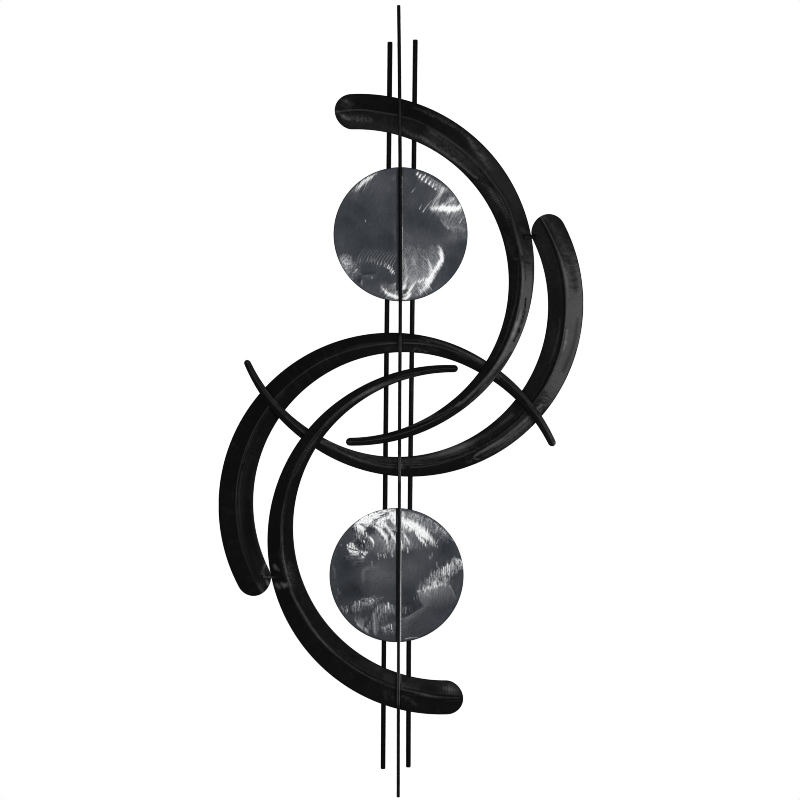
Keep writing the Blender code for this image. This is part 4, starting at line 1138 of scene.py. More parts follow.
SWEEPS_UPPER = [
    ([(62.2, 68.1, 2.93, 0.7), (66.4, 71.5, 3.39, 0.78), (63.6, 66.5, 3.7, 0.72),
        (60.6, 61.9, 4, 0.66), (56.2, 55, 4, 0.6), (50.7, 47.3, 3.54, 0.56),
        (45.8, 40.4, 2.16, 0.48)], 60, 2.62, 0.6, 2.46),
    ([(44.9, 40.8, 1.54, 0.55), (48.4, 40.2, 2.93, 0.78), (53, 40.1, 4.31, 0.88),
        (59.9, 39.9, 5.23, 1), (70.7, 39.3, 5.7, 1.14), (81.5, 39.5, 5.7, 1.16),
        (88.4, 40.5, 4.93, 1.1), (91.2, 43, 3.39, 1)], 66, 2.31, 0.22, 2.77),
    ([(68.4, 46.1, 2.16, 0.48), (76.1, 50.7, 3.23, 0.6),
        (81.5, 54.4, 3.08, 0.58)], 62, 2.46, 0.4, 1.85),
    ([(91, 45, 1.23, 0.85), (92.3, 39.6, 1.54, 0.8), (91.5, 34.2, 1.08, 0.6),
        (90, 30.4, 0.92, 0.45)], 75, 2.31, 0.3, 0.77),
    ([(61.5, 22.7, 1.23, 0.36), (68, 14, 1.85, 0.41), (73, 9.7, 2.31, 0.44), (82.3, 11, 2.16, 0.43),
        (90.7, 10.3, 1.85, 0.41), (98.4, 6.5, 1.54, 0.4)], 62, 2.46, 0.35, 1.23),
    ([(58.7, -17.7, 1.54, 0.56), (61.2, -22.9, 2.46, 0.88), (62.7, -28.9, 3.08, 1.05),
        (63.2, -37.4, 3.39, 1.1), (59.6, -46.6, 3.7, 1.06), (53.8, -54.3, 4.16, 1),
        (48.5, -62, 4.16, 0.98), (45.2, -68.9, 4.62, 0.96)], -52, 2.31, 0.34, 1.54),
    ([(46.1, -69.7, 5.54, 1.06), (40.9, -75.9, 6.77, 1.04), (35.6, -82, 5.85, 0.96),
        (31.3, -88.2, 4, 0.76)], -58, 2.46, 0.4, 2.46),
    ([(40.7, -35.8, 1.39, 0.42), (43.9, -42.8, 2.16, 0.66), (46.1, -49.7, 3.39, 0.84),
        (47, -57.4, 4.31, 0.92), (47, -63.5, 4.62, 0.96)], -58, 2.31, 0.45, 2.16),
    ([(21.4, -75, 2.46, 0.66), (27, -72.8, 3.85, 0.86), (33, -71.6, 4.62, 0.92),
        (39.2, -69.7, 4.62, 0.96), (46.1, -68.2, 4, 0.96)], 66, 2.93, 0.6, 2.93),
    ([(23.8, -84.3, 3.08, 0.56), (29.1, -81.4, 4, 0.74),
        (36.9, -77.4, 4.62, 0.84)], -58, 2.77, 0.6, 2.46),
    ([(33, -49.1, 1.54, 0.46), (35.9, -51.2, 1.54, 0.48)], 60, 2.46, 0.4, 0.77),
    ([(17.3, -31.2, 1.08, 0.44), (19.8, -38.3, 1.39, 0.66), (22.4, -44.8, 1.39, 0.64),
        (23.8, -54.3, 1.23, 0.5), (24.5, -61.2, 1.08, 0.44)], 52, 2.93, 0.85, 1.23),
    ([(25.5, -66, 1.39, 0.58), (22.4, -72.8, 2, 0.8), (18.2, -79.9, 2.46, 0.88),
        (14.1, -86.3, 2.46, 0.9), (11, -91.9, 3.23, 0.97)], 58, 2.31, 0.35, 1.85),
    ([(6.4, -37.4, 0.92, 0.42), (8.1, -48.2, 1.23, 0.62), (8.5, -55.9, 1.39, 0.66),
        (9.3, -65.1, 1.54, 0.7), (8.5, -72.8, 1.85, 0.82), (6.1, -78.3, 2.77, 1),
        (4.2, -82.6, 2.93, 1.1)], 50, 2.62, 0.62, 1.23),
    ([(14.7, -91.9, 2.46, 0.92), (11.9, -95.6, 3.08, 0.98), (8.2, -98.3, 3.08, 1),
        (4.5, -99.9, 2.46, 0.92)], 50, 2.31, 0.15, 0.92),
    ([(4.8, -93.6, 1.85, 0.65), (7.6, -93.7, 1.54, 0.8)], 50, 2.31, 0.3, 0.77),
    ([(-90.5, -40.5, 1.85, 0.66), (-85.9, -44.1, 2.93, 0.74), (-81.7, -45.7, 2.62, 0.66),
        (-77.1, -42, 2.16, 0.5)], 62, 2.62, 0.6, 1.54),
    ([(-29.7, -79.4, 1.08, 0.52), (-26.9, -83.6, 1.54, 0.7), (-23.2, -87.9, 2.16, 0.92),
        (-18.6, -91.9, 2.93, 1), (-12.4, -94.7, 3.54, 1.02),
        (-5, -97.1, 3.54, 1.02)], 48, 2.46, 0.25, 1.23),
    ([(-23.2, -98.3, 1.23, 0.36), (-14, -100.5, 1.39, 0.42),
        (-4.7, -101.4, 1.39, 0.42)], 48, 2.46, 0.2, 0.46),
    ([(-10.1, -77.4, 2.31, 0.42), (-5.3, -75.2, 1.85, 0.5)], 60, 2.62, 0.3, 1.23),
    ([(-34.6, 94.4, 1.23, 0.42), (-38.9, 92.2, 1.54, 0.62), (-43.8, 89.8, 2.31, 1),
        (-50, 85.5, 2.62, 1.02), (-56.1, 80.5, 3.85, 0.98), (-62.3, 75.3, 3.85, 0.88),
        (-67.8, 70.4, 3.54, 0.68), (-73.4, 65.5, 2.62, 0.45)], 64, 2.16, 0.6, 3.39),
]
STROKES_UPPER = [
    (16.8, 64.5, 22.7, 71.6, 0.65, 0.5), (18.4, 66.1, 20.5, 68.5, 0.69, 0.62),
    (29, 38.7, 31.6, 43.9, 0.77, 0.62), (29.5, 40.5, 32.9, 46.4, 0.62, 0.42),
    (34.2, 34.1, 38.1, 39.9, 0.77, 0.74), (38.1, 39.9, 47.6, 52.1, 0.65, 0.62),
    (41.5, 43.9, 44.5, 48.1, 0.65, 0.7), (51.3, 41.8, 58.7, 50.7, 0.77, 0.78),
    (47.9, 40.2, 50.7, 46.4, 0.69, 0.62), (53.5, 39.9, 58.1, 46.7, 0.77, 0.72),
    (56.1, 39.6, 59.9, 44.8, 0.69, 0.7), (80, 27.4, 87, 33.8, 0.65, 0.58),
    (84, 27, 88, 32.5, 0.65, 0.52), (91, 17.4, 94.1, 23, 0.77, 0.76),
    (94.1, 23, 97.2, 28.2, 0.65, 0.55), (88, 22.4, 90.7, 27.3, 0.62, 0.44),
    (65.3, 31.1, 66.9, 24.2, 0.62, 0.42), (69.2, 30.4, 68.3, 22.7, 0.62, 0.4),
    (73.8, 19.6, 78.4, 25.7, 0.62, 0.42), (25.3, 92, 27.1, 95.2, 1.31, 0.95),
    (29, 87.9, 31.1, 92.1, 1.39, 1), (32.7, 84.2, 35, 88.6, 1.39, 1),
    (36.2, 88.2, 38.1, 91.6, 1.15, 0.85), (38.4, 80.5, 40.5, 84.9, 1.39, 1),
    (41.5, 85.3, 43, 87.9, 1, 0.62), (43.8, 77.2, 46.1, 81.2, 1.39, 1),
    (48.9, 72.8, 51.3, 77.8, 1.08, 0.92), (50.1, 76.2, 52.5, 78.4, 0.77, 0.7),
    (53.2, 69, 54.9, 71.3, 1.15, 0.88), (54.7, 74.4, 56.6, 77.2, 0.85, 0.66),
    (59, 70.4, 60.9, 73.2, 0.92, 0.62), (46.4, 82.4, 48.5, 85.8, 0.77, 0.46),
    (57.2, 72.5, 59.3, 75.3, 0.77, 0.5), (27.6, 86.6, 27, 84.2, 0.77, 0.42),
    (31.6, 82.4, 30.7, 79.6, 0.77, 0.4), (37.2, 90.4, 39.3, 93.8, 0.77, 0.42),
    (43.9, 88.2, 46.1, 91, 0.62, 0.36), (51.6, 79.9, 53.8, 82.7, 0.62, 0.42),
    (61.5, 75.9, 64, 78.7, 0.69, 0.42), (64.6, 67.9, 66.7, 71.6, 0.77, 0.72),
    (68.6, 67.9, 70.7, 71.3, 0.69, 0.5), (30.7, -87.3, 34.7, -93.4, 0.65, 0.56),
    (27.9, -88.2, 32.2, -94.7, 0.62, 0.5), (35.3, -84.8, 39.9, -91.6, 0.65, 0.5),
    (38.7, -82.6, 43, -88.2, 0.62, 0.5), (24.8, -92.2, 26.7, -95, 0.62, 0.62),
    (21.8, -88.8, 23.3, -92.2, 0.54, 0.46), (41.8, -37.7, 45.2, -43.9, 0.69, 0.72),
    (39.3, -38.6, 42.1, -43.5, 0.54, 0.55), (37.5, -35.8, 39.9, -40.5, 0.54, 0.46),
    (13.4, -85.4, 22.4, -67.6, 0.69, 0.5), (15.9, -86.7, 24.5, -70.6, 0.62, 0.46),
    (11.9, -81.4, 17.4, -69.7, 0.62, 0.46), (52.9, -21.7, 54.1, -18.3, 0.54, 0.44),
    (55.9, -21.1, 57.2, -17.1, 0.62, 0.5), (58.7, -19.5, 59.9, -15.5, 0.62, 0.5),
    (61.5, -22.6, 64, -19.5, 0.62, 0.6), (63.6, -26, 65.8, -22.6, 0.62, 0.62),
    (-54.3, 21.7, -54, 19, 0.69, 0.62), (-44.1, -65.4, -43.5, -68.2, 0.77, 0.62),
    (-59.5, -72.2, -60.5, -76.2, 1.54, 0.42), (-59.8, -76.5, -59.2, -78, 0.77, 0.5),
    (-68.8, -56.2, -66.9, -53.7, 0.92, 0.74), (-69.1, -58.3, -68.2, -56.5, 0.77, 0.66),
    (-62.6, -61.4, -62, -60.5, 0.69, 0.55), (-84.5, -52.6, -82.9, -51.4, 1.23, 0.66),
    (-73.1, -59.5, -71.5, -58.9, 0.92, 0.5), (-87.5, -43.5, -86, -45.7, 1.08, 0.7),
    (-82.6, -39.5, -81.4, -41.4, 0.92, 0.64), (-89.4, -36.8, -86.9, -35.5, 0.92, 0.52),
    (-79.2, -46, -78.3, -44.1, 0.77, 0.6), (-76.2, -40.8, -75.5, -38.3, 0.69, 0.5),
    (-35.5, -46.3, -34.6, -41.7, 0.77, 0.6), (-30.3, -46.6, -28.7, -42.3, 0.77, 0.58),
    (-25.4, -49.7, -22.9, -45.1, 0.77, 0.68), (-24.7, -46.9, -23.2, -43.9, 0.62, 0.5),
    (-20.4, -51.9, -18, -47.2, 0.92, 0.88), (-18, -53.1, -16.1, -49.7, 0.92, 0.86),
    (-14.9, -55.9, -12.7, -52.2, 0.92, 0.9), (-12.7, -58.6, -11.2, -55.9, 1.23, 1),
    (-10.3, -61.1, -9, -58.6, 0.92, 0.62), (-16.1, -58, -14, -54.3, 0.92, 0.6),
    (-13.7, -61.4, -12.4, -59.2, 0.77, 0.7), (-17, -54, -14.9, -50.3, 0.62, 0.66),
    (-32.4, -50, -29.4, -44.1, 0.54, 0.42), (-66.6, -44.1, -64.2, -36.8, 0.54, 0.42),
    (-62.6, -43.5, -61.1, -37.4, 0.62, 0.52), (-51.8, -42, -49.7, -35.8, 0.59, 0.46),
    (-46, -42, -43.8, -36.8, 0.59, 0.5), (-40.8, -41.7, -38.9, -37.4, 0.59, 0.5),
    (-30.9, -88.8, -29.4, -85.4, 0.62, 0.5), (-28.4, -86, -27.2, -83.6, 0.69, 0.75),
    (-30.3, -81.1, -30.9, -83.3, 0.62, 0.55), (-24.1, -90, -22.9, -87, 0.77, 0.9),
    # the long upright strokes from here on run beside the centre rod: painted highlights of its edges
    (-22.6, -86, -21.4, -83.9, 0.69, 0.8), (-6, -77.4, -6, -37.4, 0.77, 0.44),
    (-6, -37.4, -5.6, -20.4, 0.69, 0.34), (3.4, -43.5, 3.4, 8.8, 0.77, 0.36),
    (3.3, 8.8, 3.4, 30.4, 0.77, 0.36), (1.9, 88.9, 1.9, -89.7, 0.77, 0.85),
    (2.7, 11.9, 2.8, -89.7, 0.77, 0.62),
]
COMBS_UPPER = [
    (-20.11, -59.24, 4.57, -0.65, 13, 50.81, 130, 162, 0.66, 0.39, 0.52),
]
SHADES_UPPER = [
    ([(66.1, -23.5, 1.85, 0.25), (68, -32.8, 1.08, 0.25), (67.6, -42, 0.92, 0.25),
        (63.6, -51.5, 0.92, 0.25), (57.5, -60.5, 0.92, 0.26), (51.3, -70.3, 1.23, 0.26),
        (45.5, -80.5, 1.85, 0.28), (52.2, -83.6, 4.62, 0.27), (63, -71.2, 4.62, 0.26),
        (72.3, -55.9, 4.62, 0.25), (75.3, -37.4, 4.62, 0.25)], 0.88, 60, 2.2, 0.1, 0.08),
    ([(4.5, -86, 0.77, 0.3), (11.6, -83.9, 1.08, 0.32), (12.2, -87, 1.08, 0.34),
        (8.2, -91.3, 1.08, 0.34), (3.9, -91.9, 0.77, 0.3)], 0.9, 40, 1.6, 0.3, 0.3),
    ([(28.4, -78.2, 1.85, 0.34), (37.6, -76.6, 2.16, 0.36), (36.9, -82.8, 1.85, 0.36),
        (29.1, -84.8, 1.85, 0.36)], 0.45, -60, 1.7, 0.3, 0.3),
    ([(-66.9, -68.8, 1.23, 0.14), (-60.1, -66.6, 0.92, 0.18), (-62.3, -75.9, 1.23, 0.14),
        (-66.3, -73.4, 1.23, 0.13)], 0.6, 60, 2, 0.2, 0.5),
    ([(-57.1, -56.5, 3.08, 0.21), (-37, -57.4, 3.08, 0.2), (-38.6, -60.8, 0.92, 0.19),
        (-57.7, -62.6, 0.92, 0.19)], 0.7, 60, 2, 0.1, 0.1),
    ([(63.8, 61.9, 2.31, 0.3), (73, 65, 3.08, 0.31), (75.3, 58.1, 3.08, 0.31),
        (66.1, 48.1, 3.08, 0.33), (59.6, 46.4, 2.31, 0.33)], 0.7, 62, 2, 0.25, 0.25),
    # painted shadow of the centre rod, a dark strip down its left side
    ([(-6.6, 101.2, 1.08, 0.21), (-2.9, 101.2, 0.77, 0.15), (-2.9, -86.7, 0.77, 0.14),
        (-6.6, -86.7, 1.39, 0.22)], 0.9, 90, 2, 0.1, 0.1),
]
CLOUDS_LOWER = [
    (-24.7, -2.1, 24.6, 30.8, 0, 0.04), (29.2, 16.4, 21.6, 18.5, 0, 0.02),
    (61.5, -69.8, 30.8, 18.5, -30, 0.02), (-67.8, 25.6, 15.4, 12.3, 0, 0),
    (-51.5, -0.5, 2.9, 10.8, 0, 0.1), (-47, 9.6, 6.2, 3.1, 35, 0.07), (-35.5, 12.4, 9.2, 3.4, 0, 0.05),
    (-40.1, -0.5, 9.2, 10.8, 0, 0.03), (-78.6, 14.9, 15.4, 21.6, 0, -0.05),
    (-81.7, -26.7, 13.9, 13.9, 0, -0.04), (-58.6, 22.6, 12.3, 12.3, 0, -0.03),
    (-18.5, 10.2, 16.9, 16.9, 0, 0.04), (24.6, 13.3, 18.5, 18.5, 0, 0.04),
    (73.8, 41, 15.4, 12.3, 0, -0.05), (18.4, -26.7, 15.4, 18.5, 0, -0.05),
    (-67.8, -20.6, 18.5, 15.4, 0, -0.04), (3, -39, 4.6, 21.6, 0, -0.01),
    (67.7, -57.5, 21.6, 12.3, -20, -0.01), (52.3, -88.3, 18.5, 12.3, 0, -0.02),
    (12.3, -82.1, 7.7, 12.3, 0, 0.05), (52.3, -39, 12.3, 9.2, 0, 0.03),
    (36.9, -82.1, 15.4, 12.3, 0, 0.01), (93.9, -26.7, 4.6, 15.4, 0, 0.03),
    (-13.9, -23.6, 12.3, 9.2, 0, -0.01), (-52.4, -66.7, 9.2, 9.2, 0, 0),
    (-15.4, -91.4, 13.9, 6.2, 0, 0), (86.2, -54.4, 12.3, 12.3, 0, 0),
]
ZONES_LOWER = [
    ([(-41.6, 73.4, 2.31, 0.26), (-33.9, 70.3, 1.85, 0.34), (-24.7, 61, 1.85, 0.4),
        (-17.8, 51.8, 1.54, 0.4), (-15.4, 44.1, 1.54, 0.38), (-17.8, 34.9, 1.85, 0.36),
        (-26.2, 28.7, 6.16, 0.32), (-33.9, 33.3, 3.08, 0.32), (-34.2, 44.1, 1.23, 0.33),
        (-34.7, 51.8, 1.23, 0.36), (-38.5, 59.5, 1.54, 0.38),
        (-43.2, 65.7, 2.31, 0.28)], 1, 80, 2.4, 0.1, 0.06),
    ([(-13.9, 51.8, 2.31, 0.44), (-7.8, 58, 2.31, 0.48), (0.6, 45.6, 1.54, 0.46),
        (0.6, 28.7, 3.85, 0.34), (-11.6, 27.2, 4.62, 0.36)], 0.9, 84, 2, 0.34, 0.22),
    ([(-67.8, 73.4, 3.08, 0.32), (-60.1, 77.2, 2.31, 0.44), (-46.2, 73.4, 2.31, 0.38),
        (-40.1, 59.5, 2.46, 0.31), (-35.5, 39.5, 2.46, 0.32), (-41.6, 36.4, 2.46, 0.29),
        (-55.5, 42.6, 2.16, 0.26), (-67.8, 51.8, 2.46, 0.26)], 1, 86, 1.8, 0.5, 0.55),
    ([(-63.2, 76.5, 1.54, 0.62), (-58.6, 77.5, 1.54, 0.8), (-50.9, 74.9, 1.54, 0.84),
        (-50.2, 68.4, 1.85, 0.62), (-53.3, 64.4, 2.16, 0.42),
        (-59.3, 67.8, 2.16, 0.46)], 0.95, 86, 1.8, 0.85, 0.45),
    ([(-68.7, 72.4, 0.77, 0.5), (-63.2, 81.4, 0.62, 0.62), (-52.4, 90.6, 0.62, 0.74),
        (-37, 97.7, 0.62, 0.78), (-18.5, 101.7, 0.62, 0.7), (0.6, 102.3, 0.62, 0.72),
        (0.6, 96.8, 1.23, 0.8), (-18.5, 94.9, 1.23, 0.7), (-33.9, 90.3, 1.23, 0.82),
        (-49.3, 82.6, 1.23, 0.86), (-61.6, 74.9, 1.23, 0.6)], 0.92, 40, 1.8, 0.4, 0.45),
    ([(-77.3, 45.6, 2.46, 0.56), (-72.7, 51.2, 2.16, 0.58), (-67.2, 48.7, 2.16, 0.66),
        (-62, 44.1, 2.16, 0.66), (-58.9, 38.7, 1.54, 0.6), (-66.9, 39.2, 1.23, 0.72),
        (-74.6, 41.6, 1.23, 0.6)], 1, 82, 1.7, 0.75, 0.4),
    ([(-76.4, 41.8, 1.54, 0.6), (-67.8, 37, 1.23, 0.84), (-57, 34.9, 1.23, 0.72),
        (-57, 28.7, 2.46, 0.5), (-70, 29.5, 3.08, 0.44)], 0.95, 4, 1.9, 0.28, 0.25),
    ([(-81.7, 32.6, 4.62, 0.26), (-61.6, 30.3, 2.31, 0.36), (-50.9, 25.6, 3.08, 0.34),
        (-52.4, 14.9, 3.08, 0.29), (-67.8, 16.4, 3.08, 0.3),
        (-75.5, 24.1, 3.08, 0.26)], 0.9, 0, 1.9, 0.38, 0.1),
    ([(8.3, 98.3, 1.23, 0.46), (20, 98, 1.23, 0.34), (33.8, 94, 0.92, 0.44), (47.7, 88, 0.92, 0.36),
        (61.5, 79.5, 1.23, 0.4), (76.9, 65.7, 1.23, 0.4), (86.2, 53.4, 1.54, 0.32),
        (76.9, 51.8, 6.16, 0.27), (61.5, 59.5, 4.62, 0.32), (46.1, 73.4, 3.08, 0.36),
        (27.6, 85.7, 2.31, 0.42), (8.3, 93.4, 1.54, 0.66)], 1, 66, 1.8, 0.28, 0.4),
    ([(9.2, 74.1, 1.85, 0.52), (18.4, 70.3, 2.31, 0.38), (26.1, 62.6, 2.31, 0.34),
        (33.8, 53.4, 2.31, 0.33), (36.9, 39.5, 6.16, 0.28), (21.5, 36.4, 4.62, 0.28),
        (9.2, 36.4, 3.08, 0.34)], 0.95, 84, 2.1, 0.22, 0.18),
    ([(8.3, 61, 1.54, 0.5), (13, 59.5, 1.54, 0.5), (16.9, 51.8, 1.54, 0.48), (17.6, 45.6, 1.54, 0.42),
        (9.2, 41, 1.54, 0.46)], 0.85, 84, 2.1, 0.3, 0.25),
    ([(-31.2, 84.1, 1.54, 0.7), (-24.7, 90, 1.54, 0.78), (-11.8, 94.9, 1.23, 0.82),
        (0.6, 97.4, 0.92, 0.92), (0.6, 68.8, 1.54, 0.7), (-7.8, 68.8, 1.85, 0.66),
        (-14.5, 71.8, 1.85, 0.7), (-22.2, 73.4, 1.85, 0.8),
        (-31.5, 78, 1.85, 0.78)], 0.95, 82, 1.7, 0.34, 0.4),
    ([(36.9, -11.3, 7.7, 0.31), (52.3, 2.5, 7.7, 0.37), (67.7, 12.1, 7.7, 0.42),
        (80, 19.5, 6.16, 0.43), (90.8, 27.9, 4.62, 0.46), (100.8, 22.6, 1.23, 0.54),
        (102.8, 10.2, 1.23, 0.46), (92.3, 4.8, 6.16, 0.36), (83.1, -3.6, 4.62, 0.4),
        (76.9, -13.6, 3.85, 0.44), (61.5, -17.5, 2.31, 0.52), (43, -23.6, 2.31, 0.46),
        (32.3, -26.1, 1.85, 0.42), (34.6, -19, 4.62, 0.3)], 1, 84, 1.8, 0.5, 0.34),
    ([(31.7, -26.7, 1.23, 0.4), (38.4, -26.7, 1.85, 0.42), (52.3, -22.1, 2.31, 0.42),
        (67.7, -18.2, 2.31, 0.38), (81.8, -15.2, 0.92, 0.38), (87.4, -25.2, 1.08, 0.34),
        (92.3, -37.5, 1.39, 0.29), (76.9, -49.8, 6.16, 0.26), (61.5, -48.9, 4.62, 0.27),
        (44, -48.9, 1.23, 0.34), (36.9, -41.3, 1.23, 0.34)], 1, 84, 2.4, 0.08, 0.06),
    ([(34.6, -29.8, 2.31, 0.41), (44.6, -29.8, 4.62, 0.4), (49.2, -39, 4.62, 0.37),
        (44.6, -48.3, 1.54, 0.37), (38.4, -42.1, 1.54, 0.38)], 0.7, 84, 2.4, 0.1, 0.06),
    ([(8.3, -23.6, 3.08, 0.23), (24.6, -20.6, 4.62, 0.23), (31.5, -34.4, 1.85, 0.21),
        (40, -47.6, 1.54, 0.21), (30.7, -54.4, 0.92, 0.2), (18.4, -61.8, 0.92, 0.2),
        (8.3, -65.8, 0.92, 0.22)], 0.95, 86, 2.2, 0.16, 0.12),
    ([(8.3, -66.4, 0.92, 0.36), (20, -63.7, 1.23, 0.34), (33.8, -56.7, 1.54, 0.32),
        (43.7, -50.4, 1.54, 0.32), (46.1, -57.5, 6.16, 0.26), (27.6, -72.9, 6.16, 0.28),
        (8.3, -82.1, 6.16, 0.34)], 0.9, 60, 2.2, 0.08, 0.1),
    ([(8.3, -48.3, 2.31, 0.36), (12.3, -49.2, 1.54, 0.36), (11.6, -57.5, 1.54, 0.32),
        (8.3, -58.3, 1.54, 0.32)], 0.7, 86, 2.2, 0.1, 0.1),
    ([(-89.4, -49.8, 4.62, 0.25), (-77, -46, 4.62, 0.27), (-60.1, -38.2, 4.62, 0.3),
        (-43.2, -33.6, 4.62, 0.35), (-27.8, -30.6, 6.16, 0.31), (-17, -32.9, 6.16, 0.29),
        (-24.7, -42.1, 4.62, 0.31), (-38.5, -50.6, 4.62, 0.32), (-53.9, -55.2, 6.16, 0.28),
        (-70.9, -60.6, 6.16, 0.27), (-84.7, -58.3, 2.31, 0.3)], 1, 86, 1.9, 0.38, 0.36),
    ([(-55.5, -39.8, 1.85, 0.38), (-46.2, -34.4, 1.85, 0.46), (-35.5, -35.2, 2.31, 0.46),
        (-33.9, -42.1, 1.85, 0.44), (-46.2, -48.3, 2.31, 0.42)], 0.8, 84, 1.9, 0.25, 0.75),
    ([(-36.4, -54.4, 2.31, 0.34), (-29.3, -45.2, 4.62, 0.37), (-18.5, -43.6, 4.62, 0.41),
        (-7.8, -43, 4.62, 0.36), (0.2, -48.3, 3.85, 0.3), (0.2, -60.6, 4.62, 0.32),
        (-12.4, -66.7, 9.24, 0.33), (-21.6, -76, 9.24, 0.32), (-30.9, -91.4, 4.62, 0.36),
        (-37, -83.7, 1.39, 0.38), (-38.5, -66.7, 1.39, 0.38)], 1, 87, 1.9, 0.36, 0.16),
    ([(-36.7, -57.5, 0.92, 0.42), (-30.1, -60.6, 3.08, 0.38), (-29.3, -79, 3.08, 0.38),
        (-30.9, -94.5, 2.31, 0.32), (-36.1, -88.3, 1.23, 0.42)], 0.8, 88, 2, 0.12, 0.08),
    ([(-66.3, -63.7, 4.62, 0.3), (-55.5, -62.1, 9.24, 0.31), (-46.2, -68.3, 6.16, 0.33),
        (-50.9, -77.5, 2.46, 0.44), (-43.2, -85.2, 1.85, 0.42), (-40.1, -92.9, 1.85, 0.36),
        (-49.3, -86.8, 1.54, 0.42), (-60.1, -78.4, 1.54, 0.46)], 1, 80, 2, 0.25, 0.2),
    ([(-26.2, -77.5, 4.62, 0.33), (-10.8, -73.7, 4.62, 0.35), (0.2, -71.4, 2.31, 0.35),
        (0.2, -89.8, 4.62, 0.31), (-18.5, -92.9, 4.62, 0.31)], 0.9, 86, 2, 0.1, 0.3),
]
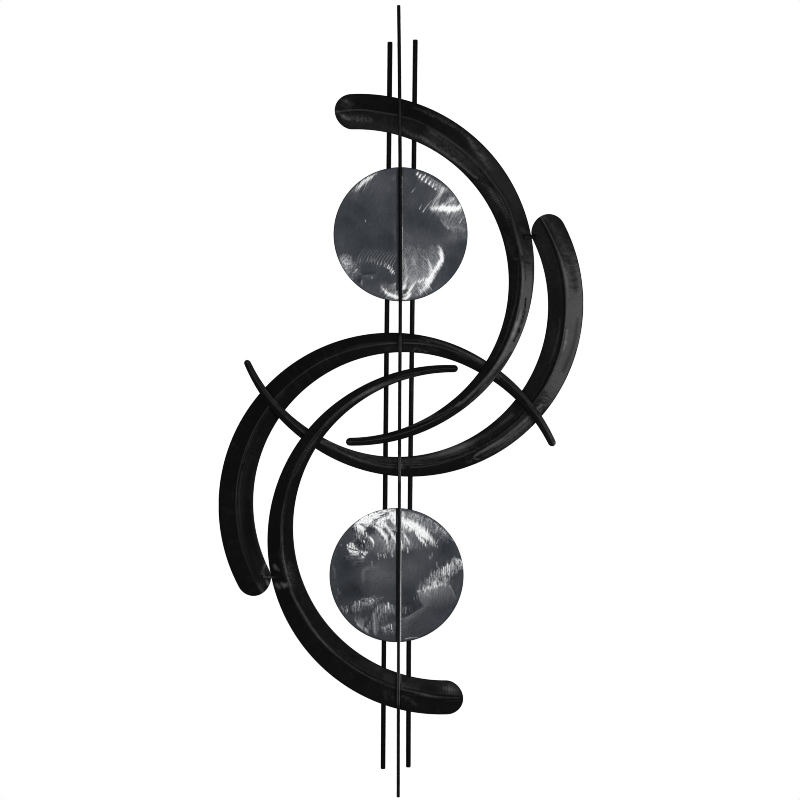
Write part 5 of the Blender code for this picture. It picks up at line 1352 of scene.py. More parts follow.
SWEEPS_LOWER = [
    ([(-63.2, 78.6, 0.92, 0.75), (-57, 82, 1.85, 1), (-49.9, 82, 4.16, 1.02),
        (-43.8, 83.2, 4.46, 1.02), (-37.9, 85.7, 3.54, 1), (-32.4, 88.5, 2.46, 0.95),
        (-26.2, 90.3, 1.69, 0.85)], 30, 2.77, 0.12, 1.08),
    ([(-39.3, 88.5, 1.39, 0.95), (-32.4, 91.2, 1.69, 1), (-25.5, 93.4, 1.69, 1),
        (-21.6, 94.3, 1.23, 0.95), (-13.9, 95.8, 0.92, 0.55)], 20, 2.77, 0.1, 0.46),
    ([(-53.9, 74.9, 1.85, 0.82), (-46.2, 75.5, 2.46, 0.9),
        (-40.9, 80.3, 2.46, 0.95)], 84, 2.62, 0.45, 2),
    ([(-28.4, 82, 1.54, 0.72), (-24.1, 85.4, 2, 0.9), (-19.8, 87.8, 2, 0.95),
        (-15.8, 89.4, 1.39, 0.85)], 70, 2.62, 0.45, 1.23),
    ([(-37.6, 80.1, 1.39, 0.72), (-33.3, 81.7, 1.69, 0.78),
        (-29.9, 78.6, 1.85, 0.85)], 70, 2.62, 0.6, 1.39),
    ([(-9.9, 95.5, 1.69, 0.88), (-5.6, 95.2, 3.39, 1), (-2.8, 90.3, 3.7, 1.02),
        (-1.9, 84.1, 2.31, 0.95), (-0.1, 77.1, 1.39, 0.85)], 84, 2.46, 0.2, 1.23),
    ([(-8.7, 88.8, 1.85, 0.85), (-8.1, 83.2, 1.54, 0.66)], 84, 2.46, 0.3, 1.23),
    ([(-37.6, 77.4, 1.54, 0.7), (-31.8, 74.6, 2.62, 0.95), (-26.2, 70.6, 4, 0.98), (-21.3, 65, 4, 1),
        (-17.3, 59.5, 3.39, 0.96), (-15.2, 53.7, 2.46, 0.9),
        (-14.2, 48.7, 1.85, 0.8)], 78, 2.46, 0.26, 1.85),
    ([(-14.2, 50.3, 1.39, 0.72), (-13.3, 44.7, 2, 0.8), (-12.7, 38.9, 2, 0.78),
        (-14.8, 35.8, 1.54, 0.6)], 60, 2.46, 0.55, 1.23),
    ([(-17.6, 77.1, 1.69, 0.6), (-12.4, 69.7, 2.93, 0.84), (-7.1, 62.9, 3.54, 0.96),
        (-2.8, 56.4, 3.54, 0.98), (0.6, 49.7, 2.46, 0.9)], 80, 2.46, 0.28, 2),
    ([(-41, 58.6, 1.23, 0.85), (-37.9, 54.3, 2.16, 0.98), (-35.5, 49.4, 1.69, 0.92),
        (-34.9, 43.8, 0.77, 0.72)], -60, 2.46, 0.12, 0.46),
    ([(-73, 43.2, 1.08, 0.6), (-68.4, 39.3, 1.69, 1), (-63.2, 36.6, 1.85, 0.95),
        (-58, 35.8, 1.39, 0.72)], -20, 2.77, 0.15, 0.62),
    ([(-57.6, 38, 1.69, 0.72), (-52.4, 35.5, 2.31, 0.86), (-47.8, 33.6, 2.16, 0.82),
        (-45, 34.6, 1.54, 0.72)], 84, 2.46, 0.45, 2),
    ([(-53.9, 30.3, 1.08, 0.62), (-50.2, 26.9, 1.08, 0.85),
        (-53.3, 26.6, 0.92, 0.72)], 0, 2.46, 0.2, 0.46),
    ([(-48.1, 37.2, 1.08, 0.8), (-48.4, 30.3, 0.92, 0.75)], 86, 2.46, 0.2, 0.46),
    ([(8, 84.1, 8.62, 0.94), (14.4, 81.7, 8.01, 1), (21.5, 78.9, 7.7, 1.04), (28.9, 74.3, 8.31, 1.06),
        (36.3, 68.4, 8.62, 1.04), (43.7, 62.9, 7.7, 1), (49.8, 57.7, 5.85, 0.9),
        (54.8, 52.1, 4.31, 0.7), (59.4, 46.6, 2.93, 0.46)], 82, 2.31, 0.26, 4),
    ([(30.1, 65, 2.31, 0.92), (34.7, 58.6, 2.93, 0.9), (39.7, 52.7, 2.62, 0.92),
        (44.6, 45.6, 1.54, 0.8)], 82, 2.46, 0.35, 2.77),
    ([(9.2, 75.8, 2.77, 0.78), (15.3, 73.7, 3.08, 0.8), (21.5, 69.7, 2.93, 0.8)], 84, 2.46, 0.5, 2.77),
    ([(8.6, 67.2, 1.39, 0.66), (13.2, 61, 1.69, 0.84), (16.6, 55.5, 1.69, 0.96),
        (18.7, 50.3, 1.39, 0.9), (19.3, 46.6, 0.77, 0.66)], 84, 2.46, 0.25, 1.23),
    ([(8.4, 47.2, 1.23, 0.96), (8.9, 42.6, 1.08, 0.85), (8.1, 38, 0.92, 0.6)], 88, 2.46, 0.1, 0.31),
    ([(49.8, 29.6, 0.92, 0.44), (51.7, 25.3, 1.23, 0.5), (54.1, 29.3, 1.08, 0.46),
        (54.8, 34, 0.77, 0.4)], 84, 2.46, 0.2, 0.46),
    ([(32.9, -22.7, 2, 0.62), (35, -26.7, 2.16, 0.56), (39, -24.6, 2.77, 0.58),
        (45.5, -22.7, 3.7, 0.74), (50.1, -20.2, 4, 0.86), (54.8, -19, 4.16, 0.9),
        (59.1, -17.5, 3.85, 0.88), (63.7, -16.6, 3.54, 0.86), (67.7, -15, 2.93, 0.72),
        (72.9, -14.1, 2.46, 0.74), (77.8, -13.5, 2.31, 0.78),
        (81.2, -13.8, 1.85, 0.62)], 84, 2.62, 0.62, 3.7),
    ([(13.8, -98.1, 0.77, 0.5), (23, -96.3, 0.92, 0.52), (30.7, -96.3, 0.77, 0.46),
        (37.7, -96.9, 0.62, 0.4)], 10, 2.77, 0.1, 0.31),
    ([(14.6, -66.1, 0.92, 0.33), (23, -61.8, 1.08, 0.38), (30.7, -56.9, 1.08, 0.36),
        (38.4, -52.3, 0.92, 0.34), (43.7, -48.9, 0.92, 0.34)], 30, 2.77, 0.1, 0.31),
]
STROKES_LOWER = [
    (-60.1, 78, -59.5, 68.8, 1.23, 0.95), (-59.2, 71.8, -58.6, 63.4, 0.77, 0.8),
    (-57.8, 61, -57.3, 55.7, 0.77, 0.78), (-54.6, 56.4, -53.9, 50.9, 0.62, 0.52),
    (-51.6, 70.3, -51.3, 62.6, 1.23, 0.98), (-54.6, 73.4, -54.2, 67.2, 1.08, 0.92),
    (-46.9, 65.7, -45.9, 58.6, 0.85, 0.85), (-50.2, 53, -49.5, 50, 1.08, 0.9),
    (-53.2, 45.6, -52.7, 42.6, 0.69, 0.52), (-44.1, 61, -43.2, 55.5, 0.69, 0.68),
    (-62.4, 66.3, -62, 61, 0.62, 0.52), (-49.3, 72.8, -48.7, 68.8, 0.92, 0.8),
    (-63.8, 72.4, -63.2, 68.8, 0.77, 0.6), (-40.7, 45, -39.8, 41.3, 0.77, 0.5),
    (-43.8, 46.6, -42.9, 43.2, 0.69, 0.48), (-37.9, 42.3, -37.6, 39.5, 0.62, 0.45),
    (-56.1, 65.7, -55.8, 61, 0.62, 0.5), (-28.7, 33.6, -28.1, 28.1, 0.77, 0.74),
    (-24.2, 31.8, -23.9, 28.7, 0.77, 0.68), (-19.6, 31.8, -18.8, 26.6, 0.77, 0.78),
    (-17.9, 34, -17, 30.9, 0.77, 0.66), (-16.1, 30.3, -15.2, 27.2, 0.62, 0.5),
    (-6.8, 31.8, -5.6, 27.2, 0.69, 0.62), (-38.1, 21, -37.5, 14.9, 0.69, 0.54),
    (-27.8, 25.6, -27.2, 24.1, 0.77, 0.5), (-10.2, 44.1, -9.6, 39.5, 0.62, 0.5),
    (-8.4, 37, -7.8, 33.3, 0.62, 0.46), (-32.7, 67.2, -31.8, 64.1, 0.62, 0.45),
    (-97.7, 13.3, -97.7, 7.2, 0.54, 0.42), (-94.9, 10.2, -94.9, -5.2, 0.54, 0.4),
    (-90.3, -20.6, -90, -29.8, 0.62, 0.42), (-87, -24.2, -86.9, -29.8, 0.54, 0.38),
    (-93, -32.2, -92.7, -35.9, 0.54, 0.36), (-76.1, 47.2, -75.2, 44.1, 0.77, 0.6),
    # the strokes at 6.3 to 7.6 across run beside the centre rod: a painted highlight along its right edge
    (-85.7, 47.2, -85, 45, 0.69, 0.5), (6.3, 110.3, 6.3, -102.2, 0.95, 1),
    (6.9, 84.1, 6.9, 22.6, 0.69, 0.95), (7.6, 53.4, 7.6, 39.5, 0.92, 0.9),
    (17.3, 42, 17.5, 34.9, 0.77, 0.84), (17.3, 36.4, 17.3, 34.9, 0.92, 0.9),
    (22.1, 42.6, 22.7, 38.6, 0.62, 0.52), (20, 45.6, 20.6, 41, 0.62, 0.5),
    (24, 47.2, 24.6, 42.6, 0.54, 0.44), (61.8, 48.7, 64.6, 55.5, 0.69, 0.64),
    (62.5, 45.6, 62.8, 42, 0.69, 0.66), (55.7, 44.1, 56.9, 48.7, 0.62, 0.48),
    (54.8, 34.3, 54.9, 28.7, 0.62, 0.5), (62, 20.1, 62.5, 11.2, 0.69, 0.58),
    (29.8, 44.1, 30.4, 41, 0.62, 0.42), (44.3, 48.1, 44.4, 45, 0.92, 0.92),
    (40, 54.9, 40.9, 49.7, 1.08, 0.96), (33.8, 59.5, 34.7, 54.3, 0.92, 0.9),
    (50.1, 51.2, 50.8, 47.2, 0.77, 0.6), (54.4, 49.7, 55.1, 45.6, 0.62, 0.55),
    (49.8, 86.6, 52.6, 84.5, 0.92, 0.66), (53.8, 83.2, 55.1, 84.8, 0.77, 0.5),
    (58.5, 80.5, 62.1, 77.4, 0.77, 0.62), (63.7, 73.7, 65.5, 76.5, 0.69, 0.55),
    (67.7, 70.9, 69.8, 73.7, 0.69, 0.62), (70.2, 67.8, 72.6, 71.2, 0.69, 0.62),
    (72.6, 65, 75.1, 68.4, 0.69, 0.62), (75.4, 63.2, 78.2, 66.3, 0.69, 0.62),
    (78.5, 60.4, 80.6, 62.9, 0.62, 0.5), (85.2, 55.5, 87.7, 52.4, 0.77, 0.5),
    (29.8, 92.5, 30.7, 89.4, 0.92, 0.62), (34.1, 91.5, 34.7, 89.1, 0.77, 0.55),
    (26.7, 90.3, 27.4, 87.2, 0.77, 0.5), (38.4, 88.8, 39, 85.7, 0.77, 0.5),
    (69.8, 8.7, 70, -2.1, 0.69, 0.62), (72.6, 12.4, 72.8, -0.5, 1, 0.86),
    (75.7, 13.3, 75.8, 2.5, 0.77, 0.8), (78.5, 17, 78.6, 5.6, 1.23, 0.84),
    (81.2, 14.9, 81.4, 2.5, 0.92, 0.88), (83.7, 17.9, 83.7, 7.8, 0.77, 0.74),
    (86.8, 19.5, 86.9, 8.7, 0.77, 0.8), (91.4, 25.6, 91.7, 18.6, 0.77, 0.7),
    (94.2, 22.6, 96.3, 17.9, 0.77, 0.78), (97.5, 24.1, 100, 19.5, 0.77, 0.8),
    (99.7, 18.9, 101.6, 15.5, 0.77, 0.72), (95.7, 15.8, 97.9, 12.7, 0.69, 0.6),
    (65.5, 5.6, 65.7, -3.6, 0.69, 0.55), (61.5, 4.1, 61.7, -5.2, 0.62, 0.5),
    (57.8, 5.6, 58.1, -3, 0.62, 0.46), (52.9, 3.2, 53.2, -3.6, 0.62, 0.46),
    (50.8, -3.6, 51.1, -11.3, 0.69, 0.56), (47, -6.7, 47.4, -14.4, 0.62, 0.46),
    (72.9, 1, 73.2, -5.2, 0.62, 0.6), (79.4, 2.5, 81.5, -0.5, 0.92, 0.8),
    (74.8, 4.7, 75.1, 1, 0.77, 0.75), (50.1, -11.9, 50.4, -12.8, 0.77, 0.72),
    (55.4, -5.2, 55.7, -9.8, 0.69, 0.55), (48.3, -29.2, 48.6, -33.8, 0.62, 0.58),
    (27, -34.4, 27.4, -39, 0.62, 0.46), (31.4, -31.3, 31.5, -37.5, 0.62, 0.42),
    (14.6, -49.2, 14.3, -59.4, 0.65, 0.62), (19.6, -50.4, 19.6, -56, 0.54, 0.34),
    (82.2, -15, 87.1, -25.2, 0.92, 0.42), (87.1, -25.2, 91.4, -35.9, 0.77, 0.36),
    (-63.8, -40.6, -63.5, -56, 0.85, 0.62), (-57.2, -40, -57, -46.7, 1.15, 0.72),
    (-57.6, -46.7, -58.3, -54.4, 0.92, 0.58), (-66.9, -46.1, -66.7, -56, 0.69, 0.48),
    (-77, -47.6, -76.9, -52.9, 0.69, 0.52), (-75.7, -52.9, -75.5, -56.6, 0.92, 0.66),
    (-78, -54.4, -77.8, -59, 0.77, 0.5), (-84.1, -47.6, -83.8, -52, 0.77, 0.52),
    (-82.6, -51.3, -82, -56, 0.92, 0.52), (-53.6, -42.1, -53.3, -46.7, 0.62, 0.5),
    (-60.7, -43, -60.6, -48.3, 0.62, 0.45), (-41.3, -39.3, -40.1, -41.2, 1.08, 0.84),
    (-35.8, -38.1, -34.9, -40, 1.08, 0.72), (-38.9, -43.3, -37.9, -44.3, 0.77, 0.6),
    (-51.8, -43.6, -50.9, -44.6, 0.77, 0.55), (-48.1, -42.1, -47.2, -43.3, 0.77, 0.5),
    (-41.6, -45.2, -40.7, -46.7, 0.69, 0.55), (-30.2, -36.9, -26.2, -35, 0.54, 0.46),
    (-24.1, -35, -19.5, -33.5, 0.54, 0.42), (-29.3, -40, -24.1, -37.5, 0.54, 0.42),
    (-29, -48.9, -28.9, -57.5, 0.77, 0.66), (-25.3, -47.3, -25.1, -53.5, 0.62, 0.56),
    (-24.1, -53.5, -23.8, -60.6, 0.77, 0.56), (-20.1, -49.8, -19.9, -57.5, 0.62, 0.5),
    (-16.7, -47.3, -16.5, -57.5, 0.92, 0.74), (-12.4, -43, -12.2, -51.3, 1.08, 0.88),
    (-14.5, -48.3, -14.4, -54.4, 0.69, 0.6), (-10.2, -49.2, -9.9, -57.5, 0.69, 0.6),
    (-7.1, -45.8, -6.8, -52.3, 0.69, 0.66), (-5.6, -52.3, -5.3, -57.5, 0.69, 0.56),
    (-33, -51.3, -32.9, -60.6, 0.62, 0.42), (-34.9, -59, -34.2, -72.9, 1.08, 0.46),
    (-33.9, -72.9, -33, -91.4, 1.08, 0.44), (-41, -71.4, -40.9, -83.7, 0.77, 0.46),
    (-44.1, -76.9, -43.8, -85.2, 0.77, 0.52), (-45.9, -82.8, -44.1, -88.9, 0.77, 0.58),
    (-47.8, -81.5, -46.9, -86.8, 0.69, 0.56), (-60.1, -75.4, -57.6, -78.8, 1.39, 0.56),
    (-54.9, -79, -53, -81.5, 1.08, 0.52), (-63.8, -68.9, -62.6, -71.4, 0.92, 0.42),
    (-17.9, -80.9, -17.8, -82, 0.85, 1), (-17.9, -83.7, -17.8, -84.6, 0.85, 0.98),
    (-15, -78.4, -14.7, -80, 0.77, 0.9), (-11.8, -76.6, -11.4, -81.5, 0.77, 0.76),
    (-7.9, -76, -7.3, -83.7, 0.77, 0.88), (-21.1, -80, -20.8, -82.1, 0.77, 0.62),
    (-17.6, -87.1, -17, -88, 0.77, 0.6), (-15.2, -86.4, -14.8, -87.7, 0.62, 0.46),
    (-11.8, -85.2, -11.1, -86.8, 0.62, 0.5), (-5.9, -86.4, -5, -88, 0.77, 0.56),
    (-8.7, -86.8, -8.1, -88.3, 0.62, 0.46),
]
COMBS_LOWER = []
SHADES_LOWER = [
    # painted shadow of the centre rod, a dark strip down its left side
    ([(-1.1, 105.7, 0.77, 0.09), (1.8, 105.7, 0.77, 0.09), (1.8, -102.2, 0.77, 0.08),
        (-1.1, -102.2, 0.77, 0.09)], 0.95, 90, 2, 0.1, 0.1),
    ([(-46.2, 72.8, 1.85, 0.24), (-40.1, 74.3, 1.54, 0.2), (-33.3, 70.3, 1.85, 0.24),
        (-32.4, 63.2, 3.85, 0.3), (-41.6, 62.6, 2.31, 0.24),
        (-45.9, 66.6, 1.85, 0.2)], 0.92, 84, 2.4, 0.1, 0.1),
    ([(-29.9, 87.4, 0.77, 0.3), (-23.1, 90, 0.77, 0.28), (-15.4, 92.5, 0.77, 0.3),
        (-16.1, 91.2, 0.77, 0.34), (-23.8, 88.2, 0.77, 0.34),
        (-29.3, 85.8, 0.77, 0.42)], 0.8, 20, 2, 0.2, 0.4),
    ([(-17.9, 96.2, 0.92, 0.36), (-11.4, 97.1, 0.77, 0.38), (-10.8, 92.5, 1.23, 0.44),
        (-16.4, 88.8, 1.23, 0.46)], 0.8, 84, 2, 0.2, 0.3),
    ([(-16.4, 84.8, 1.54, 0.42), (-9.9, 86.3, 1.54, 0.4), (-7.1, 80.1, 1.54, 0.42),
        (0.2, 74.9, 1.23, 0.42), (0.2, 66.3, 1.54, 0.42), (-8.7, 72.4, 1.54, 0.42),
        (-15.4, 77.4, 1.54, 0.46)], 0.85, 84, 2, 0.25, 0.3),
    ([(-37, 87.8, 0.77, 0.46), (-30.9, 86.9, 1.08, 0.5), (-29.6, 81.4, 1.08, 0.5),
        (-37.3, 79.8, 1.08, 0.55)], 0.55, 60, 1.6, 0.4, 0.8),
    ([(-71.8, 42.6, 0.54, 0.26), (-66.3, 39.2, 0.54, 0.22), (-60.1, 38.1, 0.54, 0.22),
        (-60.4, 37.2, 0.46, 0.26), (-67.2, 38.1, 0.46, 0.26),
        (-72.1, 41.3, 0.46, 0.3)], 0.95, 0, 2, 0.1, 0.1),
    ([(-56.7, 43.2, 1.08, 0.2), (-54.9, 38.9, 0.77, 0.24), (-55.5, 34.9, 0.62, 0.26),
        (-57.2, 38.6, 0.77, 0.24)], 0.8, 84, 2, 0.2, 0.2),
    ([(11.6, 95.8, 1.23, 0.36), (20, 95.5, 1.54, 0.34), (18.4, 88.8, 1.54, 0.42),
        (13.2, 90.3, 1.23, 0.44)], 0.75, 70, 1.8, 0.3, 0.4),
    ([(8.3, 96.5, 0.92, 0.52), (11.3, 94.9, 1.23, 0.6), (10.1, 90.6, 1.23, 0.68),
        (8.3, 90.9, 0.92, 0.66)], 0.5, 70, 1.8, 0.3, 0.4),
]


def along(X, Z, degrees):
    """Distances along and across a direction."""
    h = math.radians(degrees)
    return X * math.cos(h) + Z * math.sin(h), -X * math.sin(h) + Z * math.cos(h)


def hatch(X, Z, degrees, pitch, length, seed):
    """Fine scratches that run one way, from -1 to 1."""
    run, across = along(X, Z, degrees)
    return noise(across / pitch, run / length, seed)


def path_value(X, Z, points, power):
    """Brightness of one sweep along a path of (across, up, half width, brightness)."""
    best = np.zeros(X.shape)
    tail = np.zeros(X.shape)
    for (x0, z0, w0, a0), (x1, z1, w1, a1) in zip(points, points[1:]):
        dx, dz = x1 - x0, z1 - z0
        t = np.clip(((X - x0) * dx + (Z - z0) * dz) / (dx * dx + dz * dz), 0.0, 1.0)
        d = np.hypot(X - x0 - t * dx, Z - z0 - t * dz)
        w = w0 + (w1 - w0) * t
        a = a0 + (a1 - a0) * t
        best = np.maximum(best, a * np.exp(-(d / (1.16 * w)) ** power))
        tail = np.maximum(tail, a * np.exp(-(d / (1.5 * w + 2.2)) ** 1.2))
    return best, tail


def zone_mask(X, Z, points, ragged):
    """Inside of a closed outline of (across, up, softness, brightness), with the softness
    and the brightness carried from its corners."""
    n = len(points)
    inside = np.zeros(X.shape, bool)
    best = np.full(X.shape, 1e9)
    soft = np.ones(X.shape)
    top = np.zeros(X.shape)
    low = np.zeros(X.shape)
    for i in range(n):
        x0, z0, s0, b0 = points[i]
        x1, z1, s1, b1 = points[(i + 1) % n]
        cross = (z0 > Z) != (z1 > Z)
        with np.errstate(divide="ignore", invalid="ignore"):
            at = (x1 - x0) * (Z - z0) / (z1 - z0 if z1 != z0 else 1e-9) + x0
        inside ^= cross & (X < at)
        dx, dz = x1 - x0, z1 - z0
        t = np.clip(((X - x0) * dx + (Z - z0) * dz) / (dx * dx + dz * dz + 1e-9), 0.0, 1.0)
        d = np.hypot(X - x0 - t * dx, Z - z0 - t * dz)
        near = d < best
        soft = np.where(near, s0 + (s1 - s0) * t, soft)
        best = np.minimum(best, d)
        weight = 1.0 / (d * d + 4.0)
        top += weight * (b0 + (b1 - b0) * t)
        low += weight
    signed = np.where(inside, best, -best) + ragged * soft
    return smooth(-0.5, 0.5, signed / np.maximum(soft, 0.05)), top / low


def ground_finish(clouds, zones, sweeps, strokes, combs, darks, gain=(1.0, 1.0)):
    """The brightness, with the swirl's highlights painted in, scratch direction and relief of one hand-ground disc."""
    def finish(x, z, seed):
        X, Z = x * 1000.0, z * 1000.0
        rng = np.random.default_rng(seed)
        value = 0.254 + 0.014 * fbm(X * 0.05, Z * 0.05, seed, 3)
        swirl = np.hypot(X + 60.0, Z - 35.0)
        # the faint overlapping sweeps of a hand-held grinder, seen where nothing shines
        for _ in range(34):
            r, f = rng.uniform(0, 95), rng.uniform(0, 2 * np.pi)
            turn = rng.uniform(-0.6, 2.2)
            radius = rng.uniform(45, 62)
            cx = r * math.cos(f) - radius * math.cos(turn)
            cz = r * math.sin(f) - radius * math.sin(turn)
            q = np.hypot(X - cx, Z - cz)
            da = np.abs(np.angle(np.exp(1j * (np.arctan2(Z - cz, X - cx) - turn))))
            half_w, half_a = rng.uniform(6, 15), rng.uniform(0.35, 0.8)
            on = (1 - smooth(0.6, 1.0, np.abs(q - radius) / half_w)) * (1 - smooth(0.6, 1.0, da / half_a))
            value = value + on * (rng.normal(0.0, 0.009)
                                  + 0.004 * noise(q / 1.6, da * 9, seed + 90)
                                  + 0.003 * np.sin(q / 4.2 * 2 * np.pi))
            swirl = np.where(on > 0.5, q, swirl)
        for cx, cz, rx, rz, turn, lift in clouds:
            u, v = along(X - cx, Z - cz, turn)
            value = value + lift * np.exp(-((u / rx) ** 2 + (v / rz) ** 2))
        fine = noise(X / 0.9, Z / 0.9, seed + 300)
        value = value + 0.013 * fine + 0.013 * hatch(X, Z, 72, 1.2, 6.0, seed + 301)
        number = 0
        for points, strength, turn, pitch, depth, grain in zones:
            number += 1
            lines = 0.6 * hatch(X, Z, turn, pitch, 7.0, seed + 400 + number) + 0.55 * hatch(X, Z, turn + 9, 0.55 * pitch, 4.5, seed + 420 + number)
            mask, tone = zone_mask(X, Z, points, 0.5 * hatch(X, Z, turn, 2.2, 14.0, seed + 440 + number))
            speck = noise(X / 0.95, Z / 0.95, seed + 480 + number)
            tex = 1 + depth * lines + grain * np.sign(speck) * np.abs(speck) ** 1.2
            value = value + mask * strength * (tone * tex - value)
            swirl = np.where(mask > 0.5, along(X, Z, turn)[1] + 200.0, swirl)
        # sweeps, strokes and combs: the grinder swirl's highlights, painted into the brightness
        light = np.zeros(X.shape)
        for points, turn, pitch, mod, feather in sweeps:
            number += 1
            h = math.radians(turn)
            off = feather * (0.8 * noise(along(X, Z, turn)[1] / 1.0, along(X, Z, turn)[0] / 18.0, seed + number)
                             + 0.3 * noise(along(X, Z, turn)[1] / 3.1, along(X, Z, turn)[0] / 30.0, seed + number + 50))
            core, tail = path_value(X + off * math.cos(h), Z + off * math.sin(h), points, 2.3)
            coarse = 0.5 + 0.5 * np.sin(along(X, Z, turn)[1] / pitch * 2 * np.pi
                                        + 2.0 * noise(X / 8.0, Z / 8.0, seed + number + 100))
            thin = hatch(X, Z, turn, 1.0, 12.0, seed + number + 150)
            edge = 4.0 * np.clip(core, 0, 1) * (1 - np.clip(core, 0, 1))
            core = core * (1 - mod * (0.55 * (1 - coarse) + 0.55 * np.clip(-thin, 0, 1))) * (1 + 0.30 * edge * thin)
            tail = tail * np.clip(0.34 + 0.85 * thin + 0.35 * (coarse - 0.5), 0.12, 1) * min(1.0, 0.42 + feather / 1.8)
            new = np.maximum(core, tail)
            swirl = np.where(new > np.maximum(light, 0.3), along(X, Z, turn)[1] + 200.0, swirl)
            light = np.maximum(light, new)
        for x0, z0, x1, z1, w, a in strokes:
            dx, dz = x1 - x0, z1 - z0
            t = np.clip(((X - x0) * dx + (Z - z0) * dz) / (dx * dx + dz * dz + 1e-9), 0.0, 1.0)
            d = np.hypot(X - x0 - t * dx, Z - z0 - t * dz)
            light = np.maximum(light, 1.12 * a * np.exp(-(d / (1.12 * w)) ** 2) * (1 - 0.25 * t))
        for cx0, cz0, sx, sz, count, radius, a0, a1, w, amp0, amp1 in combs:
            for i in range(count):
                cx, cz = cx0 + sx * i, cz0 + sz * i
                q = np.hypot(X - cx, Z - cz)
                a = np.degrees(np.arctan2(Z - cz, X - cx)) % 360.0
                jit = 3.0 * lattice(np.array([i]), np.array([7]), seed + 77)[0]
                on = smooth(a0 + jit - 5, a0 + jit + 5, a) * (1 - smooth(a1 + jit - 5, a1 + jit + 5, a))
                v = amp0 + (amp1 - amp0) * i / max(1, count - 1)
                v = v * (0.7 + 0.3 * (a - a0) / (a1 - a0)) * on
                light = np.maximum(light, v * np.exp(-((q - radius) / w) ** 2) * (1 + 0.25 * noise(a * 0.6, q / 9, seed + i)))
        light = light * (1 + 0.16 * fine)
        value = np.maximum(value, light) + 0.35 * np.minimum(value, light) * (1 - np.clip(light, 0, 1))
        for points, strength, turn, pitch, depth, grain in darks:
            number += 1
            lines = 0.6 * hatch(X, Z, turn, pitch, 7.0, seed + 400 + number) + 0.55 * hatch(X, Z, turn + 9, 0.55 * pitch, 4.5, seed + 420 + number)
            mask, tone = zone_mask(X, Z, points, 0.5 * hatch(X, Z, turn, 2.2, 14.0, seed + 440 + number))
            speck = noise(X / 0.95, Z / 0.95, seed + 480 + number)
            tex = 1 + depth * lines + grain * speck
            value = value + mask * strength * (tone * tex - value)
        value = value * (gain[0] + (gain[1] - gain[0]) * smooth(0.27, 0.45, value))
        # painted shade along the rim: darker towards the edge
        inset = DISC_R * 1000 - 0.3 - np.hypot(X, Z)
        value = value * (1 - 0.36 * (1 - smooth(0.0, 1.0, inset)))
        relief = 0.000016 * np.sin(swirl / 4.2 * 2 * np.pi) + 0.000010 * noise(swirl / 1.5, swirl * 0, seed + 302)
        relief = relief - 0.00002 * np.clip(value, 0, 1)
        return np.clip(value, 0.03, 1.0), swirl / 1000.0, relief
    return finish


build_disc("disc_upper", DISC_UPPER, ground_finish(
    CLOUDS_UPPER, ZONES_UPPER, SWEEPS_UPPER, STROKES_UPPER, COMBS_UPPER, SHADES_UPPER, (1.02, 1.06)), 11)
build_disc("disc_lower", DISC_LOWER, ground_finish(
    CLOUDS_LOWER, ZONES_LOWER, SWEEPS_LOWER, STROKES_LOWER, COMBS_LOWER, SHADES_LOWER, (1.07, 1.12)), 12)


# ------------------------------------------------------------------ rods and links
def smooth_path(points, step):
    """Points (X, Z) along a smooth curve through the rod's own points, by length."""
    p = np.array(points, float)
    t = np.concatenate([[0.0], np.cumsum(np.hypot(*(p[1:] - p[:-1]).T))])
    m = np.gradient(p, t, axis=0)
    n = max(2, int(t[-1] / step))
    q = np.linspace(0.0, t[-1], n + 1)
    k = np.clip(np.searchsorted(t, q, side="right") - 1, 0, len(t) - 2)
    h = t[k + 1] - t[k]
    s = ((q - t[k]) / h)[:, None]
    h = h[:, None]
    out = ((2 * s ** 3 - 3 * s ** 2 + 1) * p[k] + (s ** 3 - 2 * s ** 2 + s) * h * m[k]
           + (-2 * s ** 3 + 3 * s ** 2) * p[k + 1] + (s ** 3 - s ** 2) * h * m[k + 1])
    return out, q


def weld_bead(centre, size, turn, seed):
    """A lumpy run of weld metal: squashed ball with ripples along its length."""
    nu, nv = 40, 20
    a = np.linspace(0, 2 * np.pi, nu, endpoint=False)[None, :]
    b = np.linspace(0.06, np.pi - 0.06, nv)[:, None]
    nx, nz, ny = np.sin(b) * np.cos(a), np.sin(b) * np.sin(a), np.cos(b) + 0 * a
    lump = 1.0 + 0.10 * np.cos(9.0 * nx + seed) + 0.22 * fbm(nx * 2.2 + seed, nz * 2.2 + ny, seed, 3)
    u, d, w = size[0] * nx * lump, -size[1] * ny * lump, size[2] * nz * lump
    x = centre[0] + u * math.cos(turn) - w * math.sin(turn)
    z = centre[2] + u * math.sin(turn) + w * math.cos(turn)
    verts = np.stack([x, -(centre[1] + d), z], -1).reshape(-1, 3)
    faces = [tuple(f) for f in grid_faces(nv, nu, wrap=True)]
    faces += [tuple(range(nu - 1, -1, -1)), tuple((nv - 1) * nu + j for j in range(nu))]
    mid = verts.mean(0)
    f = list(faces[(nv // 2) * nu])
    if np.dot(np.cross(verts[f[1]] - verts[f[0]], verts[f[2]] - verts[f[0]]), verts[f].mean(0) - mid) < 0:
        faces = [g[::-1] for g in faces]
    speck = np.clip(noise(verts[:, 0] * 700, verts[:, 2] * 700, seed + 4), 0, 1) ** 2
    tone = 0.010 + 0.09 * speck + 0.05 * np.clip(lump.ravel() - 1.05, 0, 1)
    return verts, faces, tone, 0.2 - 0.5 * speck


